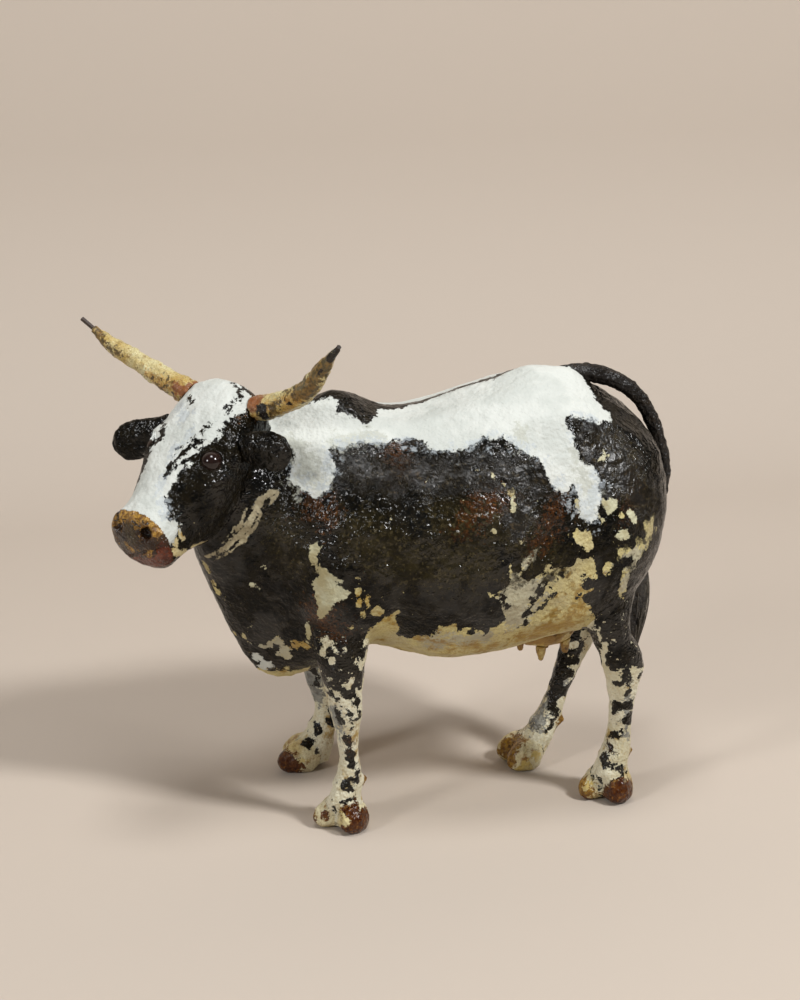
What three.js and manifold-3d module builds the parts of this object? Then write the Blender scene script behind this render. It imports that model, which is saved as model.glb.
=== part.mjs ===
// A papier-mache cow figurine: moulded paper shells over a wire armature, on four legs with cloven hooves.
// Millimetres, +Z up. The cow faces -X, so its left side is towards -Y, and it stands on the plane z = 0.
import * as THREE from "three";
import { mergeVertices } from "three/addons/utils/BufferGeometryUtils.js";
import Module from "manifold-3d";

const wasm = await Module();
wasm.setup();

// Main sizes. The tables below give the figurine's shape in hundredths of these.
const bodyLength = 264; // throat to rump, for places and sizes along X
const bodyWidth = 140; // across the barrel, for those along Y
const backHeight = 246; // ground to the top of the rump, for those along Z
const headLength = 106.5; // poll to nose, for all of the head

// Paper, tape and wire
const bodyWall = 4; // layers of pasted paper in the hollow body
const headWall = 3.6;
const fitGap = 0.3; // left between pieces that touch
const stripWidth = 26; // gummed strip that joins the two halves from inside
const stripThickness = 1.2;
const wireRadius = 1.4; // annealed wire of the armature
const wireCrossing = 1.8; // clear space between two wires where one crosses over the other
const wireFootClearance = 9; // a leg's wire stops this far above the ground

// Rows of a table, and places [x, y, z], from hundredths to millimetres
const hundredths = (size, keys) => Object.fromEntries(keys.map((key) => [key, size / 100]));
const bodyUnits = {
  ...hundredths(bodyLength, ["x", "rx", "along", "forward"]),
  ...hundredths(bodyWidth, ["y", "ry", "r", "half", "lean", "across", "aside", "drift", "lift"]),
  ...hundredths(backHeight, ["z", "top", "bottom", "side", "shoulder", "drop", "deep", "length", "height"]),
};
const headUnits = hundredths(headLength, [
  "x", "top", "bottom", "half", "side", "lean", "along", "up", "radius", "wide", "thick",
]);
const converted = (row, units) => {
  const convert = ([key, value]) => [key, key in units ? value * units[key] : value];
  return Object.fromEntries(Object.entries(row).map(convert));
};
const onBody = (row) => converted(row, bodyUnits);
const onHead = (row) => converted(row, headUnits);
const placeOnBody = ([x, y, z]) => [x * bodyUnits.x, y * bodyUnits.y, z * bodyUnits.z];
const placeOnHead = (values) => values.map((value) => value * headUnits.x);

// The body from rump to throat, as upright sections. side is the height of the widest line,
// crest and keel shape the upper and lower half (1 is round, more is pinched), lean is the shift in Y.
const bodyStations = [
  { x: 55.7, top: 75.2, bottom: 67.5, half: 6.4, side: 71.5, crest: 1, keel: 1, lean: 0 },
  { x: 54.9, top: 79.3, bottom: 61.4, half: 17.1, side: 71.5, crest: 0.95, keel: 1, lean: 0 },
  { x: 53, top: 83.7, bottom: 54.9, half: 25.7, side: 71.5, crest: 0.95, keel: 1, lean: 0 },
  { x: 49.6, top: 89, bottom: 49.2, half: 32.9, side: 70.7, crest: 0.95, keel: 1, lean: 0 },
  { x: 44.7, top: 93.5, bottom: 44.7, half: 38.6, side: 69.1, crest: 0.98, keel: 0.95, lean: 0 },
  { x: 38.3, top: 97.6, bottom: 41.5, half: 42.9, side: 67.1, crest: 1.02, keel: 0.92, lean: 0 },
  { x: 30.3, top: 100, bottom: 38.6, half: 46.4, side: 65, crest: 1.05, keel: 0.9, lean: 0 },
  { x: 20.5, top: 98.8, bottom: 36.2, half: 49.3, side: 63.4, crest: 1.05, keel: 0.9, lean: 0 },
  { x: 9.5, top: 95.1, bottom: 35, half: 50, side: 62.2, crest: 1.03, keel: 0.9, lean: 0 },
  { x: 0, top: 93.1, bottom: 37, half: 48.6, side: 62.2, crest: 1.05, keel: 0.92, lean: 0 },
  { x: -7.6, top: 94.7, bottom: 39.4, half: 45, side: 62.6, crest: 1.15, keel: 0.95, lean: 0 },
  { x: -14.4, top: 96.3, bottom: 35.4, half: 40.7, side: 63.4, crest: 1.2, keel: 1.15, lean: 0 },
  { x: -20.8, top: 95.1, bottom: 31.3, half: 35.7, side: 65.9, crest: 1.15, keel: 1.4, lean: -0.7 },
  { x: -26.5, top: 92.3, bottom: 30.9, half: 29.3, side: 69.1, crest: 1.1, keel: 1.55, lean: -2.1 },
  { x: -31.4, top: 89.8, bottom: 34.1, half: 24.3, side: 72, crest: 1.05, keel: 1.6, lean: -4.3 },
  { x: -35.6, top: 88.2, bottom: 41.9, half: 21.4, side: 74.8, crest: 1, keel: 1.5, lean: -6.4 },
  { x: -39.4, top: 86.6, bottom: 51.6, half: 19.3, side: 77.2, crest: 1, keel: 1.3, lean: -8.6 },
  { x: -42.4, top: 84.6, bottom: 59.8, half: 17.1, side: 77.2, crest: 1, keel: 1.1, lean: -10 },
  { x: -44.3, top: 82.5, bottom: 66.3, half: 12.9, side: 75.6, crest: 1, keel: 1, lean: -11.4 },
].map(onBody);
const bodySides = 20;
const bodyInsideSides = 12;

// Muscle and bone under the coat, each with a twin on the other side: reach along each axis, and lift.
const bodySwellings = {
  shoulderBlade: { at: [-12.9, 40, 67.1], reach: [7.6, 18.6, 13.8], lift: 4.3 },
  upperArm: { at: [-16.7, 34.3, 48], reach: [6.8, 17.1, 9.8], lift: 4.3 },
  hookBone: { at: [33.3, 31.4, 93.5], reach: [5.3, 11.4, 5.7], lift: 2.9 },
  pinBone: { at: [51.5, 17.1, 84.6], reach: [4.5, 10, 4.9], lift: 2.1 },
  flankHollow: { at: [26.5, 44.3, 81.3], reach: [6.8, 17.1, 8.1], lift: -2.9 },
  thigh: { at: [42.4, 35.7, 58.9], reach: [9.1, 18.6, 14.6], lift: 5 },
  stifle: { at: [34.8, 35.7, 48], reach: [5.3, 14.3, 6.5], lift: 3.6 },
  elbowHollow: { at: [-4.5, 42.9, 49.6], reach: [4.5, 15.7, 8.9], lift: -2.9 },
};

// The head in its own frame: +X towards the nose, +Y towards the cow's left ear, +Z out of the forehead.
const headCentre = placeOnBody([-43.9, -15.7, 83.7]);
const headTurn = 40; // degrees, towards the cow's left
const headPitch = 38; // degrees, nose down
const headStations = [
  { x: -47.9, top: 11.3, bottom: -3.8, half: 8.5, side: 3.8, crest: 1, keel: 1, lean: 0 },
  { x: -45.1, top: 16.9, bottom: -12.2, half: 17.8, side: 3.8, crest: 0.85, keel: 1, lean: 0 },
  { x: -38.5, top: 20.7, bottom: -20.7, half: 23.5, side: 2.8, crest: 0.75, keel: 0.95, lean: 0 },
  { x: -26.3, top: 21.1, bottom: -28.2, half: 26.3, side: 0.9, crest: 0.7, keel: 0.9, lean: 0 },
  { x: -11.3, top: 19.2, bottom: -33.8, half: 27.7, side: -0.9, crest: 0.68, keel: 0.85, lean: 0 },
  { x: 3.8, top: 17.4, bottom: -35.7, half: 27.2, side: -2.8, crest: 0.72, keel: 0.8, lean: 0 },
  { x: 16, top: 16, bottom: -33.8, half: 24.4, side: -4.7, crest: 0.8, keel: 0.85, lean: 0 },
  { x: 27.2, top: 15, bottom: -27.2, half: 19.7, side: -4.7, crest: 0.9, keel: 0.9, lean: 0 },
  { x: 35.7, top: 15.5, bottom: -23, half: 17.4, side: -2.8, crest: 0.9, keel: 0.9, lean: 0 },
  { x: 41.3, top: 15, bottom: -21.6, half: 18.8, side: -0.9, crest: 0.65, keel: 0.8, lean: -0.9 },
  { x: 46, top: 12.2, bottom: -20.2, half: 18.3, side: -2.8, crest: 0.6, keel: 0.8, lean: -1.4 },
  { x: 49.8, top: 5.6, bottom: -17.8, half: 16, side: -5.6, crest: 0.65, keel: 0.8, lean: -1.4 },
  { x: 52.1, top: -0.9, bottom: -13.1, half: 9.9, side: -7.5, crest: 0.8, keel: 0.9, lean: -0.9 },
].map(onHead);
const headSides = 18;
const headInsideSides = 10;
const muzzleStart = 0.423 * headLength; // the muzzle is a cap of pulp from here on
const muzzleSlant = 14; // degrees that its edge leans towards the poll at the top
const muzzlePlug = 7; // the pulp is pressed this far into the open end of the head
const nostril = onHead({ along: 46, side: 9.4, up: 9.4, radius: 3, sides: 8 });

// Face pieces, set on the head's skin: along is the place from poll to nose,
// round is the angle in degrees from the middle of the forehead down the side.
const eye = { ...onHead({ along: -1, round: 45 }), bead: 6, sink: 2, sides: 12 };
const ears = {
  ear_left: { along: -16.9, round: 76, sign: 1, reach: [-3.3, 28.2, -1.4], twist: 50 },
  ear_right: { along: -13.1, round: 68, sign: -1, reach: [15, -25.4, -2.8], twist: -50 },
};
const earRoot = 7; // paper of the ear that lies under the skin
const earSides = 12;
const earSteps = 9;
const earSections = [
  { share: 0, wide: 7.5, thick: 3.4 },
  { share: 0.25, wide: 9.2, thick: 3.2 },
  { share: 0.55, wide: 10.5, thick: 2.9 },
  { share: 0.8, wide: 9.2, thick: 2.5 },
  { share: 0.94, wide: 6, thick: 2.1 },
  { share: 1, wide: 2.4, thick: 1.3 },
].map(onHead); // share of the way from the skin to the tip

// Horns, modelled by hand and not quite alike: points in the head's frame from inside the skull to the tip.
const hornPaths = {
  horn_left: [
    [-35.7, 11.3, 5.6], [-38.5, 25.4, 8.5], [-43.2, 39.4, 11.7],
    [-47.9, 52.6, 17.4], [-54.5, 63.8, 27.7], [-60.6, 77, 40.4],
  ],
  horn_right: [
    [-34.7, -11.3, 8.5], [-36.2, -24.4, 12.7], [-38, -39.4, 17.4],
    [-40.4, -53.5, 22.1], [-41.9, -68.5, 28.2], [-44.6, -80.8, 36.6],
  ],
};
const hornRadii = placeOnHead([6.5, 6.2, 5.4, 4.8, 4, 2.3]);
const hornSides = 9;
const hornSpans = 9;
const hornWireBare = { horn_left: 2.5, horn_right: 9 }; // bare wire that shows past each tip

// Legs: level sections from inside the body down to the heel that the claws are pressed round.
// rx and ry are half widths, turn is how far the foot turns to the cow's left, in degrees, and
// forward is how far the middle of the claws is in front of the end of the leg.
const legs = {
  fore_leg_left: {
    foot: "fore_left",
    forward: 0.6,
    turn: 42,
    sections: [
      { z: 59.3, x: -15.2, y: -24.3, rx: 5.7, ry: 7.1 },
      { z: 52, x: -15.2, y: -26.4, rx: 7.2, ry: 10 },
      { z: 44.7, x: -15.2, y: -28.6, rx: 6.4, ry: 10 },
      { z: 39, x: -14.8, y: -30, rx: 4.9, ry: 8.6 },
      { z: 32.9, x: -14.5, y: -30, rx: 4, ry: 7.1 },
      { z: 27.6, x: -14, y: -29.6, rx: 3.5, ry: 6.4 },
      { z: 22.8, x: -13.7, y: -28.9, rx: 2.5, ry: 4.9 },
      { z: 17.5, x: -13.5, y: -28.6, rx: 2.1, ry: 4.3 },
      { z: 13.4, x: -13.3, y: -28.4, rx: 2.6, ry: 5.1 },
      { z: 9.3, x: -13.7, y: -28.4, rx: 3.4, ry: 6.7 },
      { z: 6.5, x: -14.1, y: -28.3, rx: 3.8, ry: 7.1 },
      { z: 3.7, x: -14, y: -28.2, rx: 3.1, ry: 5.9 },
      { z: 1.2, x: -13.9, y: -28.1, rx: 2.4, ry: 4.6 },
    ],
  },
  fore_leg_right: {
    foot: "fore_right",
    forward: 3,
    turn: -8,
    sections: [
      { z: 59.3, x: -15.9, y: 24.3, rx: 5.7, ry: 7.1 },
      { z: 52, x: -15.9, y: 26.4, rx: 7.2, ry: 10 },
      { z: 44.7, x: -16.3, y: 28.6, rx: 6.4, ry: 10 },
      { z: 39, x: -16.3, y: 30, rx: 5.3, ry: 8.6 },
      { z: 32.9, x: -16.1, y: 30.7, rx: 4.4, ry: 7.1 },
      { z: 26.8, x: -15.7, y: 31.4, rx: 3.6, ry: 6.4 },
      { z: 21.5, x: -15.2, y: 31.4, rx: 3, ry: 5.4 },
      { z: 16.7, x: -14.2, y: 31.4, rx: 2.3, ry: 4.4 },
      { z: 12.6, x: -14, y: 31.4, rx: 2.3, ry: 4.9 },
      { z: 8.9, x: -15, y: 31.4, rx: 3.3, ry: 6.4 },
      { z: 6.5, x: -15.9, y: 31.4, rx: 4.1, ry: 7.3 },
      { z: 3.7, x: -16.3, y: 31.4, rx: 4, ry: 6.4 },
      { z: 1.2, x: -16.3, y: 31.4, rx: 3.4, ry: 5.3 },
    ],
  },
  hind_leg_left: {
    foot: "hind_left",
    forward: 0.6,
    turn: 46,
    sections: [
      { z: 66.7, x: 42.4, y: -20, rx: 5.3, ry: 5.7 },
      { z: 60.2, x: 41.7, y: -22.9, rx: 6.8, ry: 8.6 },
      { z: 53.3, x: 40.9, y: -25.7, rx: 7.2, ry: 10 },
      { z: 46.7, x: 40.7, y: -27.1, rx: 5.7, ry: 9.3 },
      { z: 41.5, x: 42.4, y: -26.4, rx: 4.5, ry: 8.2 },
      { z: 37, x: 44.7, y: -25.7, rx: 4.8, ry: 7.9 },
      { z: 33.3, x: 45.5, y: -25, rx: 4.7, ry: 7.1 },
      { z: 28.9, x: 45.5, y: -24.6, rx: 3.6, ry: 6.1 },
      { z: 24.4, x: 45.6, y: -23.2, rx: 2.8, ry: 5.3 },
      { z: 18.3, x: 45.5, y: -21.8, rx: 2.7, ry: 5 },
      { z: 13.4, x: 45.3, y: -20.7, rx: 3, ry: 5.7 },
      { z: 9.3, x: 44.5, y: -20, rx: 3.6, ry: 6.9 },
      { z: 6.5, x: 43.9, y: -19.9, rx: 3.9, ry: 7.3 },
      { z: 3.7, x: 44, y: -19.7, rx: 3.2, ry: 5.9 },
      { z: 1.2, x: 44.1, y: -19.6, rx: 2.5, ry: 4.6 },
    ],
  },
  hind_leg_right: {
    foot: "hind_right",
    forward: 2.5,
    turn: 12,
    sections: [
      { z: 66.7, x: 42.4, y: 20, rx: 5.3, ry: 5.7 },
      { z: 60.2, x: 41.7, y: 22.9, rx: 6.8, ry: 8.6 },
      { z: 53.3, x: 41.3, y: 25, rx: 7.2, ry: 10 },
      { z: 46.7, x: 40.9, y: 25.7, rx: 5.7, ry: 9.3 },
      { z: 41.5, x: 41.7, y: 24.3, rx: 4.7, ry: 8.2 },
      { z: 37, x: 42.8, y: 22.9, rx: 4.7, ry: 7.9 },
      { z: 33.3, x: 42.8, y: 22.1, rx: 4.5, ry: 7.1 },
      { z: 28.5, x: 41.3, y: 21.4, rx: 3.7, ry: 6.1 },
      { z: 23.2, x: 39.3, y: 20.7, rx: 3, ry: 5.4 },
      { z: 17.5, x: 37.3, y: 20, rx: 2.6, ry: 5 },
      { z: 12.6, x: 35.6, y: 19.3, rx: 2.8, ry: 5.6 },
      { z: 8.9, x: 33.7, y: 18.9, rx: 3.6, ry: 6.7 },
      { z: 6.5, x: 32.2, y: 18.6, rx: 4.2, ry: 7.3 },
      { z: 3.7, x: 31.4, y: 18.6, rx: 3.8, ry: 6.4 },
      { z: 1.2, x: 31.1, y: 18.6, rx: 3.2, ry: 5.3 },
    ],
  },
};
for (const leg of Object.values(legs)) {
  Object.assign(leg, onBody(leg), { sections: leg.sections.map(onBody) });
}
const legSides = 10;

// A claw in its foot's frame: +X is towards the toe, and the origin is under the end of the leg.
// x is counted from the leg's forward value.
const clawSections = [
  { z: 0, x: 0, rx: 2.7, ry: 3 },
  { z: 0.5, x: 0.1, rx: 3.5, ry: 4.1 },
  { z: 1.8, x: 0.2, rx: 4.2, ry: 5.1 },
  { z: 3.7, x: 0, rx: 4.2, ry: 5.2 },
  { z: 5.5, x: -0.5, rx: 3.3, ry: 4.3 },
  { z: 6.9, x: -1.1, rx: 1.7, ry: 2.4 },
].map(onBody);
const clawSides = 10;
const cleftWidth = 1.4; // between the two claws of a foot
// spread is how many degrees a dewclaw stands to either side of the heel
const dewclaw = { radius: 2.7, ...onBody({ height: 10.6 }), spread: 30, sides: 6 };

// Udder and teats. drop is how far the udder's middle is under the belly, and a teat's place is
// forward and to the left of the udder's middle.
const udder = onBody({ x: 30.3, y: -0.7, drop: -0.4, along: 8, across: 13.6, deep: 4.1, sides: 12 });
const teats = {
  teat_front_left: { forward: 0.4, aside: 6.4, length: 3.7 },
  teat_front_right: { forward: 3.4, aside: -6.4, length: 4.3 },
  teat_rear_left: { forward: -4.9, aside: 5.7, length: 3 },
  teat_rear_right: { forward: -2.3, aside: -6.4, length: 3.9 },
};
const teat = { root: 3, radius: 3.7, waist: 2.7, waistShare: 0.45, tip: 1.8, tipShare: 0.9, sides: 8 };

// Tail: a roll of paper over the end of the spine wire. x, z and radius along the cow's middle.
const tailPath = [
  { x: 31.8, z: 98.8, r: 2.6 },
  { x: 37.1, z: 99, r: 3.7 },
  { x: 42, z: 98.2, r: 3.9 },
  { x: 46.2, z: 96.3, r: 3.6 },
  { x: 50.2, z: 93.1, r: 3.3 },
  { x: 53.4, z: 87.8, r: 3.1 },
  { x: 55.4, z: 82.1, r: 3 },
  { x: 56.7, z: 76.4, r: 2.9 },
  { x: 56.8, z: 71.5, r: 2.6 },
  { x: 55.8, z: 67.5, r: 2.2 },
  { x: 54.8, z: 63.4, r: 1.9 },
  { x: 53.9, z: 59.3, r: 1.8 },
  { x: 53, z: 55.3, r: 1.7 },
].map(onBody);
const tailSides = 8;
const tailSpans = 16;
const tailWireStart = 2; // the wire runs from this point of the tail
const tailWireEnd = 9; // to this one
// The brush of fibre is tied round the end of the tail. drift is to the cow's right.
const brushPath = [
  { x: 53.4, z: 57.3, r: 2.7, drift: 0 },
  { x: 52.7, z: 53.7, r: 3.1, drift: 0.4 },
  { x: 52.1, z: 49.6, r: 4, drift: 1.1 },
  { x: 51.7, z: 44.3, r: 4.6, drift: 2.1 },
  { x: 51.4, z: 39, r: 4.4, drift: 2.9 },
  { x: 51.1, z: 34.1, r: 3.3, drift: 3.6 },
  { x: 51, z: 30.5, r: 1.9, drift: 3.6 },
  { x: 50.9, z: 28.9, r: 0.9, drift: 3.6 },
].map(onBody);
const brushSpans = 10;

// Armature inside the body: the spine wire's way, and the height of the leg hoops' shoulders.
const spineInside = [
  [-33.3, -5.7, 79.7], [-22.7, -1.4, 75.6], [-7.6, 0, 74],
  [13.3, 0, 76.4], [28.4, 0, 84.1], [34.1, 0, 91.1],
].map(placeOnBody);
const hoopInLegs = 0.49 * backHeight; // the hoops keep to the middles of the legs below this height
const foreHoop = onBody({ x: -15.5, half: 17.1, shoulder: 67.5 });
const hindHoop = onBody({ x: 34.1, half: 17.9, shoulder: 79.7 });
const spineEnd = 5; // the spine wire runs on this far past the horn wire that it is tied to
const wireSides = 6;
const wireSpans = { horns: 24, spine: 38, hoop: 38 };
const binding = { radius: 6.4, sides: 6 }; // lump of tape where two wires cross

// Crumpled newspaper that holds the armature in the shells, pressed to shape by them
const bodyWads = {
  chest_wad: { at: [-15.2, 0, 61.8], size: [10.2, 64.3, 44.7] },
  rump_wad: { at: [39.4, 0, 69.9], size: [9.5, 64.3, 40.7] },
};
const headWad = { at: [11.3, 0, -7.5], size: [20.7, 37.6, 41.3] };
const crumple = 0.09; // depth of the creases as a share of the ball
const wadSides = 8;

const painted = (color, roughness) => new THREE.MeshStandardMaterial({ color, roughness, metalness: 0 });
const coat = painted("#2f2a24", 0.5);
const blaze = painted("#d9d8d0", 0.7);
const sock = painted("#b9ad8c", 0.5);
const hornPaint = painted("#bfa264", 0.5);
const nosePaint = painted("#7a4a20", 0.35);
const clawPaint = painted("#6b3515", 0.35);
const glassBead = painted("#241a17", 0.1);
const udderPaint = painted("#a58447", 0.55);
const tailPaint = painted("#1d1c1a", 0.55);
const fibre = painted("#4b4743", 0.9);
const newsprint = painted("#a9a69a", 0.9);
const gummedPaper = painted("#a88a5f", 0.9);
const tape = painted("#b59f72", 0.8);
const iron = new THREE.MeshStandardMaterial({ color: "#3a3632", roughness: 0.5, metalness: 1 });

const { degToRad } = THREE.MathUtils;
const point = (values) => new THREE.Vector3(...values);

// Volume that an indexed geometry encloses, below zero where its faces point inwards
function enclosed(geometry) {
  const at = geometry.getAttribute("position");
  const corner = (i) => new THREE.Vector3().fromBufferAttribute(at, geometry.index.getX(i));
  let sum = 0;
  for (let i = 0; i < geometry.index.count; i += 3) {
    sum += corner(i).dot(corner(i + 1).cross(corner(i + 2))) / 6;
  }
  return sum;
}

// Surface through a row of rings that all have as many points, closed at both ends about the ring's middle
function loft(rings) {
  const sides = rings[0].length;
  const points = rings.flat();
  const index = [];
  for (let ring = 0; ring + 1 < rings.length; ring++) {
    for (let side = 0; side < sides; side++) {
      const here = ring * sides + side;
      const next = ring * sides + ((side + 1) % sides);
      index.push(here, next, next + sides, here, next + sides, here + sides);
    }
  }
  for (const ring of [0, rings.length - 1]) {
    const middle = points.length;
    points.push(rings[ring].reduce((sum, p) => sum.add(p), new THREE.Vector3()).divideScalar(sides));
    for (let side = 0; side < sides; side++) {
      const here = ring * sides + side;
      const next = ring * sides + ((side + 1) % sides);
      index.push(middle, ring ? here : next, ring ? next : here);
    }
  }
  const geometry = new THREE.BufferGeometry().setFromPoints(points).setIndex(index);
  return enclosed(geometry) < 0 ? geometry.setIndex(index.reverse()) : geometry;
}

// Moves each point of a closed geometry along its normal, by an amount that may depend on the point
function swell(geometry, amountAt) {
  geometry.computeVertexNormals();
  const at = geometry.getAttribute("position");
  const normal = geometry.getAttribute("normal");
  for (let i = 0; i < at.count; i++) {
    const p = new THREE.Vector3().fromBufferAttribute(at, i);
    const out = new THREE.Vector3().fromBufferAttribute(normal, i);
    p.addScaledVector(out, amountAt(p));
    at.setXYZ(i, p.x, p.y, p.z);
  }
  return geometry;
}

const ball = (radius, sides) => new THREE.SphereGeometry(radius, sides, sides / 2 + 1);

// A solid to join or cut, from a closed geometry
const weldWithin = 1e-4;
function solid(geometry) {
  const bare = geometry.clone();
  bare.deleteAttribute("normal");
  bare.deleteAttribute("uv");
  const merged = mergeVertices(bare, weldWithin);
  const vertProperties = new Float32Array(merged.getAttribute("position").array);
  const triVerts = new Uint32Array(merged.index.array);
  return new wasm.Manifold(new wasm.Mesh({ numProp: 3, vertProperties, triVerts }));
}

// The mesh of a solid. A cut can leave crumbs behind, so the largest body is the piece.
function piece(name, made, material) {
  const body = made.decompose().reduce((a, b) => (a.volume() > b.volume() ? a : b));
  const { numProp, vertProperties, triVerts } = body.getMesh();
  const positions = [];
  for (let i = 0; i < vertProperties.length; i += numProp) {
    positions.push(...vertProperties.subarray(i, i + 3));
  }
  const geometry = new THREE.BufferGeometry();
  geometry.setAttribute("position", new THREE.Float32BufferAttribute(positions, 3));
  geometry.setIndex([...triVerts]);
  geometry.computeVertexNormals();
  const mesh = new THREE.Mesh(geometry, material);
  mesh.name = name;
  return mesh;
}

// Values of a row of like records at a place counted in spans from the first, on a smooth curve
function rowAt(rows, place) {
  const i = Math.max(0, Math.min(Math.floor(place), rows.length - 2));
  const t = place - i;
  const near = [i - 1, i, i + 1, i + 2].map((k) => rows[Math.max(0, Math.min(rows.length - 1, k))]);
  const value = (key) => {
    const [a, b, c, d] = near.map((row) => row[key]);
    const bend = 2 * a - 5 * b + 4 * c - d;
    const twist = 3 * b - a - 3 * c + d;
    return b + ((c - a) * t + bend * t ** 2 + twist * t ** 3) / 2;
  };
  return Object.fromEntries(Object.keys(rows[0]).map((key) => [key, value(key)]));
}

// The same values where one of them reaches a given amount
const halvings = 40;
function rowWhere(rows, key, amount) {
  const last = rows.length - 1;
  const rising = rows[0][key] < rows[last][key];
  let [low, high] = [0, last];
  for (let step = 0; step < halvings; step++) {
    const middle = (low + high) / 2;
    if (rowAt(rows, middle)[key] < amount === rising) low = middle;
    else high = middle;
  }
  return rowAt(rows, low);
}

// Point of an upright section, at an angle from its top round towards +Y
function sectionPoint(station, angle) {
  const [up, out] = [Math.cos(angle), Math.sin(angle)];
  const pinch = up > 0 ? station.crest : station.keel;
  const reach = up > 0 ? station.top - station.side : station.side - station.bottom;
  const y = station.lean + station.half * Math.sign(out) * Math.abs(out) ** pinch;
  return new THREE.Vector3(station.x, y, station.side + reach * up);
}

function stationLoft(stations, sides, perSpan) {
  const rings = [];
  for (let k = 0; k <= (stations.length - 1) * perSpan; k++) {
    const station = rowAt(stations, k / perSpan);
    const ring = Array.from({ length: sides }, (_, side) => (2 * Math.PI * side) / sides);
    rings.push(ring.map((angle) => sectionPoint(station, angle)));
  }
  return loft(rings);
}

// The same stations drawn in by a wall on every side
function inset(stations, wall) {
  const reach = Math.max(...stations.map((s) => Math.abs(s.x)));
  return stations.map((s) => ({
    ...s,
    x: s.x * (1 - wall / reach),
    top: s.top - wall,
    bottom: s.bottom + wall,
    half: s.half - wall,
  }));
}

// Lift of the skin over muscle and bone
const swellings = Object.values(bodySwellings).map(({ at, reach, lift }) => ({
  at: placeOnBody(at),
  reach: placeOnBody(reach),
  ...onBody({ lift }),
}));
function liftAt(p) {
  return swellings.reduce((total, { at, reach, lift }) => {
    const away = [p.x - at[0], Math.abs(p.y) - at[1], p.z - at[2]];
    return total + lift * Math.exp(-away.reduce((sum, a, i) => sum + (a / reach[i]) ** 2, 0));
  }, 0);
}

const bodyForm = (grow = 0) => {
  const skin = swell(stationLoft(bodyStations, bodySides, 2), liftAt);
  return grow ? swell(skin, () => grow) : skin;
};
const bodyInside = (wall) => swell(stationLoft(inset(bodyStations, wall), bodyInsideSides, 1), liftAt);
const headForm = (grow = 0) => {
  const skin = stationLoft(headStations, headSides, 1);
  return grow ? swell(skin, () => grow) : skin;
};
const headInside = (wall) => stationLoft(inset(headStations, wall), headInsideSides, 1);

// A block that reaches from low to high along each axis
function block(low, high) {
  const size = high.map((h, i) => h - low[i]);
  const middle = high.map((h, i) => (h + low[i]) / 2);
  return new THREE.BoxGeometry(...size).translate(...middle);
}

// Round bar with a radius for each point of its path
function taperedBar(path, radii, sides, spans, grow = 0) {
  const curve = new THREE.CatmullRomCurve3(path);
  const { normals, binormals } = curve.computeFrenetFrames(spans);
  const rows = radii.map((r) => ({ r }));
  const rings = [];
  for (let k = 0; k <= spans; k++) {
    const place = curve.getUtoTmapping(k / spans) * (path.length - 1);
    const r = rowAt(rows, place).r + grow;
    const middle = curve.getPointAt(k / spans);
    const ring = [];
    for (let side = 0; side < sides; side++) {
      const angle = (2 * Math.PI * side) / sides;
      const across = normals[k].clone().multiplyScalar(r * Math.cos(angle));
      ring.push(middle.clone().add(across).addScaledVector(binormals[k], r * Math.sin(angle)));
    }
    rings.push(ring);
  }
  return loft(rings);
}

// Bar along a smooth path
function wire(path, radius, steps) {
  const corners = Array.from({ length: wireSides }, (_, i) => {
    const angle = (2 * Math.PI * i) / wireSides;
    return new THREE.Vector2(radius * Math.cos(angle), radius * Math.sin(angle));
  });
  const extrudePath = new THREE.CatmullRomCurve3(path);
  return new THREE.ExtrudeGeometry(new THREE.Shape(corners), { steps, extrudePath });
}

// Point of a smooth path that lies nearest to a given one in the keys named
const pathSamples = 400;
function pathPoint(path, wanted) {
  const curve = new THREE.CatmullRomCurve3(path);
  const keys = Object.keys(wanted);
  const miss = (p) => keys.reduce((sum, key) => sum + (p[key] - wanted[key]) ** 2, 0);
  return curve.getPoints(pathSamples).reduce((best, p) => (miss(p) < miss(best) ? p : best));
}

// The cow, and its head as a group that carries the pieces of the face
const cow = new THREE.Group();
const head = new THREE.Group();
head.position.set(...headCentre);
head.rotation.set(0, degToRad(headPitch), Math.PI + degToRad(headTurn), "ZYX");
head.updateMatrix();
cow.add(head);
const intoHead = head.matrix.clone().invert();

const hornMiddles = Object.fromEntries(
  Object.entries(hornPaths).map(([name, path]) => [name, path.map(placeOnHead).map(point)]),
);

// Wires, each made once as itself and once larger, to bore what it runs through
const hornWirePath = (() => {
  const end = (name) => {
    const [before, tip] = hornMiddles[name].slice(-2);
    return tip.clone().addScaledVector(tip.clone().sub(before).normalize(), hornWireBare[name]);
  };
  const left = [...hornMiddles.horn_left].reverse();
  return [end("horn_left"), ...left, ...hornMiddles.horn_right, end("horn_right")];
})();
const hornWire = (radius) => wire(hornWirePath, radius, wireSpans.horns);

const wireStep = 2 * wireRadius + wireCrossing; // between the middles of two wires that cross
const hornWireMiddle = pathPoint(hornWirePath, { y: 0 }).applyMatrix4(head.matrix);
const headBack = new THREE.Vector3(Math.cos(degToRad(headTurn)), Math.sin(degToRad(headTurn)), 0);
const behindHornWire = hornWireMiddle.clone().addScaledVector(headBack, wireStep);
const spinePath = [
  behindHornWire.clone().add(new THREE.Vector3(0, 0, spineEnd)),
  behindHornWire,
  ...spineInside.map(point),
  ...tailPath.slice(tailWireStart, tailWireEnd + 1).map(({ x, z }) => new THREE.Vector3(x, 0, z)),
];
const spineWire = (radius) => wire(spinePath, radius, wireSpans.spine);

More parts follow.
